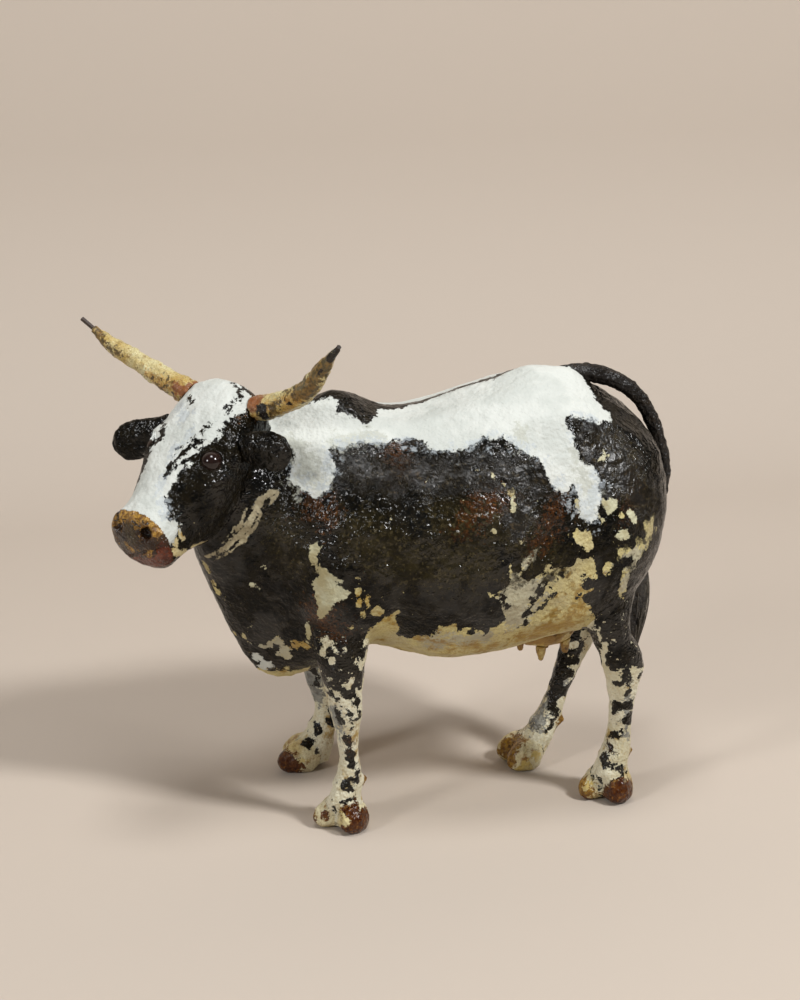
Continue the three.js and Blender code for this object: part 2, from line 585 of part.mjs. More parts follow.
// A hoop goes up one leg, over the spine wire and down the other leg
function hoopPath(left, right, hoop) {
  const up = (leg) => {
    const end = leg.sections.at(-1);
    const inLeg = leg.sections.filter((s) => s.z < hoopInLegs && s.z > wireFootClearance);
    const middles = [{ ...end, z: wireFootClearance }, ...inLeg.reverse()];
    return middles.map((s) => new THREE.Vector3(s.x, s.y, s.z));
  };
  const over = pathPoint(spinePath, { x: hoop.x, y: 0 }).z + wireStep;
  const crown = new THREE.Vector3(hoop.x, 0, over);
  const shoulder = (side) => new THREE.Vector3(hoop.x, side * hoop.half, hoop.shoulder);
  return [...up(left), shoulder(-1), crown, shoulder(1), ...up(right).reverse()];
}
const foreHoopPath = hoopPath(legs.fore_leg_left, legs.fore_leg_right, foreHoop);
const hindHoopPath = hoopPath(legs.hind_leg_left, legs.hind_leg_right, hindHoop);
const foreWire = (radius) => wire(foreHoopPath, radius, wireSpans.hoop);
const hindWire = (radius) => wire(hindHoopPath, radius, wireSpans.hoop);

const boreRadius = wireRadius + fitGap;
const boreFor = (made) =>
  [spineWire, foreWire, hindWire].reduce((left, bore) => left.subtract(solid(bore(boreRadius))), made);
const spineBoreInHead = solid(spineWire(boreRadius).applyMatrix4(intoHead));
const hornBore = solid(hornWire(boreRadius));

cow.add(piece("spine_wire", solid(spineWire(wireRadius)), iron));
cow.add(piece("fore_leg_wire", solid(foreWire(wireRadius)), iron));
cow.add(piece("hind_leg_wire", solid(hindWire(wireRadius)), iron));
head.add(piece("horn_wire", solid(hornWire(wireRadius)), iron));

// Upright wall that follows the cow's middle line, from low to high in Y
function middleWall(low, high) {
  const [rump, throat] = [bodyStations[0], bodyStations.at(-1)];
  const beyond = 60; // past the rump and the throat
  const line = [{ ...rump, x: rump.x + beyond }, ...bodyStations, { ...throat, x: throat.x - beyond }];
  const edge = (offset) => line.map((s) => new THREE.Vector2(s.x, s.lean + offset));
  const outline = new THREE.Shape([...edge(low), ...edge(high).reverse()]);
  return solid(new THREE.ExtrudeGeometry(outline, { depth: 2 * rump.top, bevelEnabled: false }));
}

// Body shell in two halves. The neck is open to the inside of the head.
const farAside = 300;
const headHollow = solid(headInside(headWall).applyMatrix4(head.matrix));
const bodyShell = boreFor(solid(bodyForm()).subtract(solid(bodyInside(bodyWall))).subtract(headHollow));
cow.add(piece("body_shell_left", bodyShell.intersect(middleWall(-farAside, -fitGap / 2)), coat));
cow.add(piece("body_shell_right", bodyShell.intersect(middleWall(fitGap / 2, farAside)), coat));

// Gummed strip over the joint, from the throat along the back and the belly
const stripOutside = bodyWall + fitGap;
const stripInside = stripOutside + stripThickness;
const strip = solid(bodyInside(stripOutside))
  .subtract(solid(bodyInside(stripInside)))
  .intersect(middleWall(-stripWidth / 2, stripWidth / 2))
  .subtract(solid(headForm().applyMatrix4(head.matrix)));
cow.add(piece("seam_strip", boreFor(strip), gummedPaper));

// Lump of tape round the crossing of two wires
function bindingAt(place, grow = 0) {
  return ball(binding.radius + grow, binding.sides).translate(place.x, place.y, place.z);
}
const crossings = {
  shoulder_binding: pathPoint(spinePath, { x: foreHoop.x, y: 0 }),
  hip_binding: pathPoint(spinePath, { x: hindHoop.x, y: 0 }),
};
for (const [name, place] of Object.entries(crossings)) {
  place.z += wireStep / 2;
  cow.add(piece(name, boreFor(solid(bindingAt(place))), tape));
}
const tapeRoom = Object.values(crossings)
  .map((place) => solid(bindingAt(place, fitGap)))
  .reduce((both, lump) => both.add(lump));
const pollCrossing = hornWireMiddle.clone().addScaledVector(headBack, wireStep / 2).applyMatrix4(intoHead);
const pollLump = solid(bindingAt(pollCrossing)).subtract(spineBoreInHead).subtract(hornBore);
head.add(piece("poll_binding", pollLump, tape));

// Crumpled ball of newspaper, before its shell presses it to shape
function wad(at, size) {
  const crumpled = ball(1, wadSides);
  const p = crumpled.getAttribute("position");
  for (let i = 0; i < p.count; i++) {
    const v = new THREE.Vector3().fromBufferAttribute(p, i);
    const crease = 1 + (crumple / 2) * (Math.sin(9 * v.x + 4 * v.z) + Math.sin(8 * v.y - 5 * v.z));
    p.setXYZ(i, ...[v.x, v.y, v.z].map((value, axis) => at[axis] + size[axis] * value * crease));
  }
  return crumpled;
}
for (const [name, form] of Object.entries(bodyWads)) {
  const loose = solid(wad(placeOnBody(form.at), placeOnBody(form.size)));
  const pressed = loose.intersect(solid(bodyInside(stripInside + fitGap)));
  cow.add(piece(name, boreFor(pressed.subtract(tapeRoom)), newsprint));
}

// Head: a hollow shell, open where the neck runs in and where the muzzle's pulp is pressed in
const neckInHead = solid(bodyForm(fitGap).applyMatrix4(intoHead));
const beyondCheek = 60;
const ahead = (from) => {
  const front = block([0, -beyondCheek, -beyondCheek], [beyondCheek, beyondCheek, beyondCheek]);
  return solid(front.rotateY(-degToRad(muzzleSlant)).translate(from, 0, 0));
};
const eyePlace = (sign) => {
  const skin = sectionPoint(rowWhere(headStations, "x", eye.along), sign * degToRad(eye.round));
  const middle = rowWhere(headStations, "x", eye.along);
  const inwards = new THREE.Vector3(0, middle.lean - skin.y, middle.side - skin.z).normalize();
  return skin.addScaledVector(inwards, eye.sink);
};
const beadAt = (sign, grow) => {
  const { x, y, z } = eyePlace(sign);
  return solid(ball(eye.bead + grow, eye.sides).translate(x, y, z));
};
const sockets = beadAt(1, fitGap).add(beadAt(-1, fitGap));
const headShell = solid(headForm())
  .subtract(solid(headInside(headWall)))
  .subtract(ahead(muzzleStart))
  .subtract(neckInHead)
  .subtract(sockets)
  .subtract(hornBore);
head.add(piece("head_shell", headShell, blaze));
head.add(piece("eye_left", beadAt(1, 0), glassBead));
head.add(piece("eye_right", beadAt(-1, 0), glassBead));

const plug = solid(headInside(headWall + fitGap)).intersect(ahead(muzzleStart - muzzlePlug));
const nostrils = [1, -1].map((sign) =>
  solid(ball(nostril.radius, nostril.sides).translate(nostril.along, sign * nostril.side, nostril.up)),
);
const muzzleCap = solid(headForm()).intersect(ahead(muzzleStart + fitGap)).add(plug);
head.add(piece("muzzle", muzzleCap.subtract(nostrils[0]).subtract(nostrils[1]), nosePaint));

const headPressed = solid(wad(placeOnHead(headWad.at), placeOnHead(headWad.size)))
  .intersect(solid(headInside(headWall + fitGap)))
  .subtract(ahead(muzzleStart - muzzlePlug - fitGap))
  .subtract(neckInHead)
  .subtract(sockets)
  .subtract(spineBoreInHead);
head.add(piece("head_wad", headPressed, newsprint));

// Ears and horns, cut off where they meet the skin
const skull = solid(headForm(fitGap)).add(neckInHead);
function earForm({ along, round, sign, reach, twist }) {
  const skin = sectionPoint(rowWhere(headStations, "x", along), sign * degToRad(round));
  const outwards = point(reach).normalize();
  const towardsNose = new THREE.Vector3(1, 0, 0).addScaledVector(outwards, -outwards.x).normalize();
  const wide = towardsNose.applyAxisAngle(outwards, degToRad(twist));
  const flat = outwards.clone().cross(wide);
  const rootShare = earRoot / point(reach).length();
  const rings = [];
  for (let k = 0; k <= earSteps; k++) {
    const share = -rootShare + ((1 + rootShare) * k) / earSteps;
    const row = share > 0 ? rowWhere(earSections, "share", share) : earSections[0];
    const middle = skin.clone().add(point(reach).multiplyScalar(share));
    const ring = [];
    for (let side = 0; side < earSides; side++) {
      const angle = (2 * Math.PI * side) / earSides;
      const rim = middle.clone().addScaledVector(wide, row.wide * Math.cos(angle));
      ring.push(rim.addScaledVector(flat, row.thick * Math.sin(angle)));
    }
    rings.push(ring);
  }
  return loft(rings);
}
for (const [name, ear] of Object.entries(ears)) {
  const form = earForm({ ...onHead(ear), reach: placeOnHead(ear.reach) });
  head.add(piece(name, solid(form).subtract(skull), coat));
}
for (const [name, path] of Object.entries(hornMiddles)) {
  const horn = solid(taperedBar(path, hornRadii, hornSides, hornSpans));
  head.add(piece(name, horn.subtract(skull).subtract(hornBore), hornPaint));
}

// Legs, cut off where they meet the body
const bodySkin = solid(bodyForm(fitGap));
function legForm(leg, grow = 0) {
  const rings = leg.sections.map((s) =>
    Array.from({ length: legSides }, (_, side) => {
      const angle = (2 * Math.PI * side) / legSides;
      return new THREE.Vector3(s.x + s.rx * Math.cos(angle), s.y + s.ry * Math.sin(angle), s.z);
    }),
  );
  const form = loft(rings);
  return grow ? swell(form, () => grow) : form;
}
function clawForm(forward, sign) {
  const aside = cleftWidth / 2 + Math.max(...clawSections.map((s) => s.ry));
  const rings = clawSections.map((s) =>
    Array.from({ length: clawSides }, (_, side) => {
      const angle = (2 * Math.PI * side) / clawSides;
      const x = forward + s.x + s.rx * Math.cos(angle);
      return new THREE.Vector3(x, sign * aside + s.ry * Math.sin(angle), s.z);
    }),
  );
  return loft(rings);
}
for (const [name, leg] of Object.entries(legs)) {
  cow.add(piece(name, boreFor(solid(legForm(leg)).subtract(bodySkin)), sock));

  const foot = new THREE.Group();
  const end = leg.sections.at(-1);
  foot.position.set(end.x, end.y, 0);
  foot.rotation.z = Math.PI + degToRad(leg.turn);
  foot.updateMatrix();
  cow.add(foot);
  const legInFoot = solid(legForm(leg, fitGap).applyMatrix4(foot.matrix.clone().invert()));
  for (const [word, sign] of [["left", 1], ["right", -1]]) {
    const claw = solid(clawForm(leg.forward, sign)).subtract(legInFoot);
    foot.add(piece(`claw_${leg.foot}_${word}`, claw, clawPaint));
    const row = rowWhere(leg.sections, "z", dewclaw.height);
    const angle = foot.rotation.z + Math.PI - sign * degToRad(dewclaw.spread);
    const place = new THREE.Vector3(row.rx * Math.cos(angle), row.ry * Math.sin(angle), 0);
    place.add(row).applyMatrix4(foot.matrix.clone().invert());
    const nub = ball(dewclaw.radius, dewclaw.sides).translate(place.x, place.y, place.z);
    foot.add(piece(`dewclaw_${leg.foot}_${word}`, solid(nub).subtract(legInFoot), clawPaint));
  }
}

// Udder under the belly, and its teats
const udderZ = rowWhere(bodyStations, "x", udder.x).bottom - udder.drop;
const udderForm = (grow = 0) =>
  ball(1, udder.sides)
    .scale(udder.along + grow, udder.across + grow, udder.deep + grow)
    .translate(udder.x, udder.y, udderZ);
cow.add(piece("udder", solid(udderForm()).subtract(bodySkin), udderPaint));

function teatForm({ forward, aside, length }) {
  const share = (forward / udder.along) ** 2 + (aside / udder.across) ** 2;
  const skinZ = udderZ - udder.deep * Math.sqrt(1 - share);
  const profile = [
    [0, teat.root],
    [teat.radius, teat.root],
    [teat.waist, -length * teat.waistShare],
    [teat.tip, -length * teat.tipShare],
    [0, -length],
  ];
  const outline = profile.map(([r, z]) => new THREE.Vector2(r, z)).reverse();
  const turned = new THREE.LatheGeometry(outline, teat.sides);
  return turned.rotateX(Math.PI / 2).translate(udder.x - forward, udder.y - aside, skinZ);
}
const milkBag = solid(udderForm(fitGap));
for (const [name, place] of Object.entries(teats)) {
  const form = teatForm(onBody(place));
  cow.add(piece(name, solid(form).subtract(milkBag).subtract(bodySkin), udderPaint));
}

// Tail on the rump, and the brush tied round its end
const tailForm = (grow = 0) => {
  const path = tailPath.map(({ x, z }) => new THREE.Vector3(x, 0, z));
  return taperedBar(path, tailPath.map(({ r }) => r), tailSides, tailSpans, grow);
};
cow.add(piece("tail", boreFor(solid(tailForm()).subtract(bodySkin)), tailPaint));

const brushMiddle = brushPath.map(({ x, z, drift }) => new THREE.Vector3(x, drift, z));
const brush = solid(taperedBar(brushMiddle, brushPath.map(({ r }) => r), tailSides, brushSpans));
cow.add(piece("tail_switch", brush.subtract(solid(tailForm(fitGap))).subtract(bodySkin), fibre));

// The origin of the figurine is under the middle of its outer size, on the ground
const figurine = new THREE.Group();
figurine.add(cow);
const extent = new THREE.Box3().setFromObject(figurine, true);
cow.position.set(-(extent.min.x + extent.max.x) / 2, -(extent.min.y + extent.max.y) / 2, -extent.min.z);

export default figurine;
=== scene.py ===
import math
import random

import bmesh
import bpy
import numpy as np
from mathutils import Matrix, Vector, noise
from mathutils.bvhtree import BVHTree


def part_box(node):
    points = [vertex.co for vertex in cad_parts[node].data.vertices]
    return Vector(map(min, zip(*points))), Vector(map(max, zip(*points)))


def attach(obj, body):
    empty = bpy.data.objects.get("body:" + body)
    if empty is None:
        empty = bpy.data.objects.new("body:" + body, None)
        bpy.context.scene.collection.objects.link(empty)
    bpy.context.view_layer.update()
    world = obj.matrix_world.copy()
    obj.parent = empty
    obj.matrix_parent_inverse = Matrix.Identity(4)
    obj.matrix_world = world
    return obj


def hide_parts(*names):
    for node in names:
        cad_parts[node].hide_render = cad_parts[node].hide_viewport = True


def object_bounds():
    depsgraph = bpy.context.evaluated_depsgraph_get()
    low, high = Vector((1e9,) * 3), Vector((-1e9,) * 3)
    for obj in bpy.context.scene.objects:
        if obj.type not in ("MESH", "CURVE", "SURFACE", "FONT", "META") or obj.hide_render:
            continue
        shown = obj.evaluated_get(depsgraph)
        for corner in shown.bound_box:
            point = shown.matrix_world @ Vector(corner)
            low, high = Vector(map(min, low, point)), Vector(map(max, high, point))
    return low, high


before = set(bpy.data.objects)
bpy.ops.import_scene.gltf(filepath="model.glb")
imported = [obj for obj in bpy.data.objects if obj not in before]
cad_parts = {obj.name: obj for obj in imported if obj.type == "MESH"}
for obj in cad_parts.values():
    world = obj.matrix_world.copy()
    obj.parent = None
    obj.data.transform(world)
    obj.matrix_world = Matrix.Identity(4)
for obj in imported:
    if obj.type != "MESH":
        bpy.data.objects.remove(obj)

# A papier-mache cow: paper skin over wire, a cream undercoat, brown-black paint, a chalky white saddle and varnish.
# Lengths in the dictionaries are millimetres and angles are degrees; the scene itself is in metres.
cadBox = [[float(value) for value in corner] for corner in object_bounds()]
millimetre = 0.001
weldReach = 0.02
nowhere = -30.0  # what a coat's field says far outside the coat
farOff = 1e6
tiny = 1e-9


def linearFromHex(text):
    values = [int(text[place:place + 2], 16) / 255 for place in (1, 3, 5)]
    return [v / 12.92 if v <= 0.04045 else ((v + 0.055) / 1.055) ** 2.4 for v in values] + [1.0]


def addNode(tree, kind, inputs=None, **settings):
    node = tree.nodes.new(kind)
    for key, value in settings.items():
        setattr(node, key, value)
    for key, value in (inputs or {}).items():
        if isinstance(value, bpy.types.NodeSocket):
            tree.links.new(value, node.inputs[key])
        else:
            node.inputs[key].default_value = value
    return node


# What all paints share. A cloud is a noise: its size in mm and its detail. A line of the ground is its cloud, channel,
# lowest and highest noise, strength and colour. An edge is a cloud and how far it bends the rim of a coat.
brush = {
    "clouds": ((7, 5), (2.2, 4), (0.9, 2), (24, 3)), "cloudRoughness": 0.62,
    "ground": ((24, 2, 0.42, 0.6, 1.0, 1), (7, 0, 0.55, 0.66, 1.0, 2), (0.9, 0, 0.5, 0.68, 0.5, 2)),
    "edges": ((7, 10), (2.2, 7), (0.9, 3)), "varnish": (0.44, 0.56), "mottle": (0.43, 0.58),
    "flakeSpan": 0.02, "grainSpan": 0.1, "edgeLift": 0.4, "reliefDetail": 1.5, "reliefRoughness": 0.5,
}


# One coat after another over a mottled ground; each coat follows a field of the mesh, in millimetres inside its edge.
def layeredPaint(name, look):
    material = bpy.data.materials.new(name)
    material.use_nodes = True
    tree = material.node_tree
    shader = tree.nodes["Principled BSDF"]
    place = addNode(tree, "ShaderNodeTexCoord").outputs["Object"]
    clouds = {}
    for size, detail in brush["clouds"]:
        cloud = addNode(tree, "ShaderNodeTexNoise", {
            "Vector": place, "Scale": 1 / (size * millimetre), "Detail": detail,
            "Roughness": brush["cloudRoughness"]})
        split = addNode(tree, "ShaderNodeSeparateColor", {0: cloud.outputs["Color"]})
        clouds[size] = [split.outputs[index] for index in range(3)]
    ground = [linearFromHex(text) for text in look["ground"]]
    colour = ground[0]
    for size, channel, low, high, most, over in brush["ground"]:
        share = addNode(tree, "ShaderNodeMapRange", {0: clouds[size][channel], 1: low, 2: high, 4: most}).outputs[0]
        colour = addNode(tree, "ShaderNodeMix", {0: share, 6: colour, 7: ground[over]}, data_type="RGBA").outputs[2]
    rough = look["rough"]
    low, high = brush["varnish"]
    dull, glossy = look.get("specular", (0.5, 0.5))
    varnish = addNode(tree, "ShaderNodeMapRange", {0: clouds[24][0], 1: low, 2: high, 3: dull, 4: glossy}).outputs[0]
    tree.links.new(varnish, shader.inputs["Specular IOR Level"])
    height = 0.0
    calm = 1.0
    for count, layer in enumerate(look["layers"]):
        turn = count % 3
        field = addNode(tree, "ShaderNodeAttribute", attribute_name=layer["field"]).outputs["Fac"]
        edge = field
        for size, reach in brush["edges"]:
            wander = addNode(tree, "ShaderNodeMath", {0: clouds[size][turn], 1: -0.5}).outputs[0]
            edge = addNode(tree, "ShaderNodeMath", {0: wander, 1: layer["ragged"] * reach, 2: edge},
                           operation="MULTIPLY_ADD").outputs[0]
        mask = addNode(tree, "ShaderNodeMapRange", {
            0: edge, 1: -layer["soft"], 2: layer["soft"], 4: layer.get("strength", 1.0)},
            interpolation_type="SMOOTHSTEP").outputs[0]
        if "flakes" in layer:
            level, fade = layer["flakes"]
            flake = addNode(tree, "ShaderNodeMath", {0: field, 1: -fade, 2: clouds[2.2][2]},
                            operation="MULTIPLY_ADD").outputs[0]
            flake = addNode(tree, "ShaderNodeMapRange", {
                0: flake, 1: level, 2: level + brush["flakeSpan"], 3: 1.0, 4: 0.0}).outputs[0]
            mask = addNode(tree, "ShaderNodeMath", {0: mask, 1: flake}, operation="MULTIPLY").outputs[0]
        coats = [linearFromHex(text) for text in layer["colours"]]
        low, high = brush["mottle"]
        patchy = clouds[layer.get("mottle", 24)][turn]
        share = addNode(tree, "ShaderNodeMapRange", {0: patchy, 1: low, 2: high}).outputs[0]
        own = addNode(tree, "ShaderNodeMix", {0: share, 6: coats[0], 7: coats[1]}, data_type="RGBA").outputs[2]
        if "grains" in layer:
            text, level, strength = layer["grains"]
            share = addNode(tree, "ShaderNodeMapRange", {
                0: clouds[2.2][turn - 1], 1: level, 2: level + brush["grainSpan"], 4: strength}).outputs[0]
            own = addNode(tree, "ShaderNodeMix", {0: share, 6: own, 7: linearFromHex(text)},
                          data_type="RGBA").outputs[2]
        colour = addNode(tree, "ShaderNodeMix", {0: mask, 6: colour, 7: own}, data_type="RGBA").outputs[2]
        rough = addNode(tree, "ShaderNodeMix", {0: mask, 2: rough, 3: layer["rough"]}).outputs[0]
        if "calm" in layer:
            calm = addNode(tree, "ShaderNodeMath", {0: mask, 1: -layer["calm"], 2: calm},
                           operation="MULTIPLY_ADD").outputs[0]
        if "thick" in layer:
            lift = addNode(tree, "ShaderNodeMapRange", {
                0: edge, 1: -brush["edgeLift"], 2: brush["edgeLift"], 4: layer["thick"]}).outputs[0]
            height = addNode(tree, "ShaderNodeMath", {0: lift, 1: height}).outputs[0]
    gloss = addNode(tree, "ShaderNodeMath", {0: clouds[7][1], 1: -0.5}).outputs[0]
    rough = addNode(tree, "ShaderNodeMath", {0: gloss, 1: look["roughSpread"], 2: rough},
                    operation="MULTIPLY_ADD", use_clamp=True).outputs[0]
    for size, amount in look["relief"]:
        grain = addNode(tree, "ShaderNodeTexNoise", {
            "Vector": place, "Scale": 1 / (size * millimetre), "Detail": brush["reliefDetail"],
            "Roughness": brush["reliefRoughness"]}).outputs["Fac"]
        tall = addNode(tree, "ShaderNodeMath", {0: calm, 1: amount * 2}, operation="MULTIPLY").outputs[0]
        height = addNode(tree, "ShaderNodeMath", {0: grain, 1: tall, 2: height}, operation="MULTIPLY_ADD").outputs[0]
    bump = addNode(tree, "ShaderNodeBump", {"Strength": 1.0, "Distance": millimetre, "Height": height})
    tree.links.new(colour, shader.inputs["Base Color"])
    tree.links.new(rough, shader.inputs["Roughness"])
    tree.links.new(bump.outputs["Normal"], shader.inputs["Normal"])
    return material


# The body's surface is read as length along the spine and turn round the barrel: 0 on the spine, 90 the near side.
barrel = {"axisY": 0.87, "axisZ": 158.0, "perDegree": 1.05, "turnsOver": -100.0}
# The head has its own frame: along the nose, towards the cow's left ear, and out of the forehead.
headFrame = {"origin": (-108.9, -21.1, 205.9), "turn": 220.0, "dip": 38.0, "perDegree": 0.42}


def pointsOf(mesh):
    values = np.empty(len(mesh.vertices) * 3)
    mesh.vertices.foreach_get("co", values)
    return values.reshape(-1, 3) / millimetre


def normalsOf(mesh):
    values = np.empty(len(mesh.vertices) * 3)
    mesh.vertex_normals.foreach_get("vector", values)
    return values.reshape(-1, 3)


def placePoints(mesh, points):
    mesh.vertices.foreach_set("co", (points * millimetre).ravel())
    mesh.update()


def onBarrel(points):
    turn = np.degrees(np.arctan2(barrel["axisY"] - points[:, 1], points[:, 2] - barrel["axisZ"]))
    turn = np.where(turn < barrel["turnsOver"], turn + 360, turn)
    return np.stack([points[:, 0], turn], axis=1)


def inHead(points):
    turn = Matrix.Rotation(math.radians(headFrame["turn"]), 3, "Z")
    dip = Matrix.Rotation(math.radians(headFrame["dip"]), 3, "Y")
    return (points - np.array(headFrame["origin"])) @ np.array(turn @ dip)


def onHead(points):
    own = inHead(points)
    return np.stack([own[:, 0], np.degrees(np.arctan2(own[:, 1], own[:, 2]))], axis=1)


def awayFrom(points, path):
    path = np.array(path, float)
    nearest = np.full(len(points), farOff)
    for start, end in zip(path, path[1:] if len(path) > 1 else path):
        along = end - start
        share = np.clip((points - start) @ along / max(along @ along, tiny), 0, 1)
        nearest = np.minimum(nearest, np.linalg.norm(points - start - share[:, None] * along, axis=1))
    return nearest


def insideBy(flat, outline, perDegree):
    scale = np.array([1.0, perDegree])
    spots = flat * scale
    corners = np.array(outline + outline[:1], float) * scale
    inside = np.zeros(len(spots), bool)
    for (x0, y0), (x1, y1) in zip(corners, corners[1:]):
        crosses = (y0 > spots[:, 1]) != (y1 > spots[:, 1])
        if crosses.any():
            meets = x0 + (x1 - x0) * (spots[:, 1] - y0) / ((y1 - y0) or tiny)
            inside ^= crosses & (spots[:, 0] < meets)
    gap = awayFrom(spots, corners)
    return np.where(inside, gap, -gap)


# Outlines, lines, holes and gaps lie in flat coordinates, strokes and cuts in space. A line, gap, stroke or cut is its
# half width and its path; holes, gaps and cuts take away.
def fieldOf(points, flat, perDegree, recipe, start=nowhere):
    field = np.full(len(points), start, float) if np.isscalar(start) else start
    scale = np.array([1.0, perDegree])
    for outline in recipe.get("outlines", []):
        field = np.maximum(field, insideBy(flat, outline, perDegree))
    for reach, path in recipe.get("lines", []):
        field = np.maximum(field, reach - awayFrom(flat * scale, np.array(path) * scale))
    for reach, path in recipe.get("strokes", []):
        field = np.maximum(field, reach - awayFrom(points, path))
    for outline in recipe.get("holes", []):
        field = np.minimum(field, -insideBy(flat, outline, perDegree))
    for reach, path in recipe.get("gaps", []):
        field = np.minimum(field, awayFrom(flat * scale, np.array(path) * scale) - reach)
    for reach, path in recipe.get("cuts", []):
        field = np.minimum(field, awayFrom(points, path) - reach)
    return np.clip(field, nowhere, -nowhere)


seedStep = (37.1, 11.7, 5.3)


# Soft noise from -1 to 1; each seed reads another part of it.
def lumps(points, size, seed):
    shift = Vector([seed * step for step in seedStep])
    return np.array([noise.noise(Vector(point) / size + shift) for point in points.tolist()])


def pushedOut(mesh, amounts):
    placePoints(mesh, pointsOf(mesh) + normalsOf(mesh) * amounts[:, None])


def addField(mesh, name, values):
    attribute = mesh.attributes.new(name, "FLOAT", "POINT")
    attribute.data.foreach_set("value", np.asarray(values, np.float32))


def applied(piece):
    graph = bpy.context.evaluated_depsgraph_get()
    mesh = bpy.data.meshes.new_from_object(piece.evaluated_get(graph))
    piece.modifiers.clear()
    piece.data = mesh
    return mesh


def boxOf(nodeName):
    return [np.array(corner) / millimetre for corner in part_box(nodeName)]


# The form's mesh, all of it smooth; the form is freed.
def meshFrom(form, name):
    for bmFace in form.faces:
        bmFace.smooth = True
    mesh = bpy.data.meshes.new(name)
    form.to_mesh(mesh)
    form.free()
    return mesh


def linked(name, data):
    thing = bpy.data.objects.new(name, data)
    bpy.context.scene.collection.objects.link(thing)
    return thing


def voxelled(piece, voxel):
    voxels = piece.modifiers.new("voxels", "REMESH")
    voxels.mode = "VOXEL"
    voxels.voxel_size = voxel * millimetre
    voxels.use_smooth_shade = True
    return applied(piece)


def smoothed(piece, rounds, groupName=""):
    soften = piece.modifiers.new("soften", "SMOOTH")
    soften.iterations = rounds
    soften.vertex_group = groupName
    applied(piece)


# The paper skin over some nodes: welded copies, one voxel surface, and only the part that is seen from outside.
def skinOver(nodeNames, name, voxel, rounds):
    form = bmesh.new()
    for nodeName in nodeNames:
        form.from_mesh(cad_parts[nodeName].data)
    bmesh.ops.remove_doubles(form, verts=form.verts, dist=weldReach * millimetre)
    piece = linked(name, meshFrom(form, name))
    mesh = voxelled(piece, voxel)
    form = bmesh.new()
    form.from_mesh(mesh)
    seen = {min(form.verts, key=lambda vert: vert.co.z)}
    front = list(seen)
    while front:
        vert = front.pop()
        for edge in vert.link_edges:
            other = edge.other_vert(vert)
            if other not in seen:
                seen.add(other)
                front.append(other)
    bmesh.ops.delete(form, geom=[vert for vert in form.verts if vert not in seen], context="VERTS")
    form.to_mesh(mesh)
    form.free()
    smoothed(piece, rounds)
    return piece


# Fills the narrow creases of a skin: outwards, a new voxel surface, and back in, as far as the weights say.
def creasesFilled(piece, reach, voxel, weightsOf):
    pushedOut(piece.data, reach * weightsOf(pointsOf(piece.data)))
    voxelled(piece, voxel)
    pushedOut(piece.data, -reach * weightsOf(pointsOf(piece.data)))
    smoothed(piece, coat["creaseRounds"])


def softened(piece, weights, rounds):
    group = piece.vertex_groups.new(name="soft")
    steps = 20
    levels = np.round(np.clip(weights, 0, 1) * steps).astype(int)
    for level in range(1, steps + 1):
        chosen = np.nonzero(levels == level)[0]
        if len(chosen):
            group.add(chosen.tolist(), level / steps, "REPLACE")
    smoothed(piece, rounds, group.name)
    piece.vertex_groups.clear()


def nodeTree(nodeName):
    form = bmesh.new()
    form.from_mesh(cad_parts[nodeName].data)
    tree = BVHTree.FromBMesh(form)
    form.free()
    return tree


ownerReach = 4 * millimetre


# Which of the nodes each face of a skin belongs to.
def ownersOf(mesh, nodeNames):
    middles = np.empty(len(mesh.polygons) * 3)
    mesh.polygons.foreach_get("center", middles)
    middles = middles.reshape(-1, 3)
    reaches = []
    for nodeName in nodeNames:
        low, high = (np.array(corner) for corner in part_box(nodeName))
        reach = np.full(len(middles), farOff)
        close = np.all((middles > low - ownerReach) & (middles < high + ownerReach), axis=1)
        tree = nodeTree(nodeName)
        for index in np.nonzero(close)[0]:
            reach[index] = tree.find_nearest(Vector(middles[index]))[3]
        reaches.append(reach)
    return np.argmin(np.stack(reaches), axis=0)


# A closed piece from the chosen faces, shaded as the whole skin is, so that no seam shows where two pieces meet.
def pieceOf(skin, chosen, name):
    mesh = skin.data
    if "skinNormal" not in mesh.attributes:
        attribute = mesh.attributes.new("skinNormal", "FLOAT_VECTOR", "POINT")
        attribute.data.foreach_set("vector", normalsOf(mesh).ravel())
    form = bmesh.new()
    form.from_mesh(mesh)
    form.faces.ensure_lookup_table()
    bmesh.ops.delete(form, geom=[form.faces[index] for index in np.nonzero(~chosen)[0]], context="FACES")
    rims = [edge for edge in form.edges if edge.is_boundary]
    caps = bmesh.ops.holes_fill(form, edges=rims, sides=0)["faces"]
    bmesh.ops.triangulate(form, faces=caps)
    mesh = meshFrom(form, name)
    normals = np.empty(len(mesh.vertices) * 3)
    mesh.attributes["skinNormal"].data.foreach_get("vector", normals)
    mesh.attributes.remove(mesh.attributes["skinNormal"])
    mesh.normals_split_custom_set_from_vertices(normals.reshape(-1, 3))
    return linked(name, mesh)


def handedOver(piece, material, nodeNames):
    piece.data.materials.clear()
    piece.data.materials.append(material)
    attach(piece, "root")
    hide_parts(*nodeNames)


def heldInBox(mesh):
    low, high = (np.array(corner) / millimetre for corner in cadBox)
    placePoints(mesh, np.clip(pointsOf(mesh), low, high))


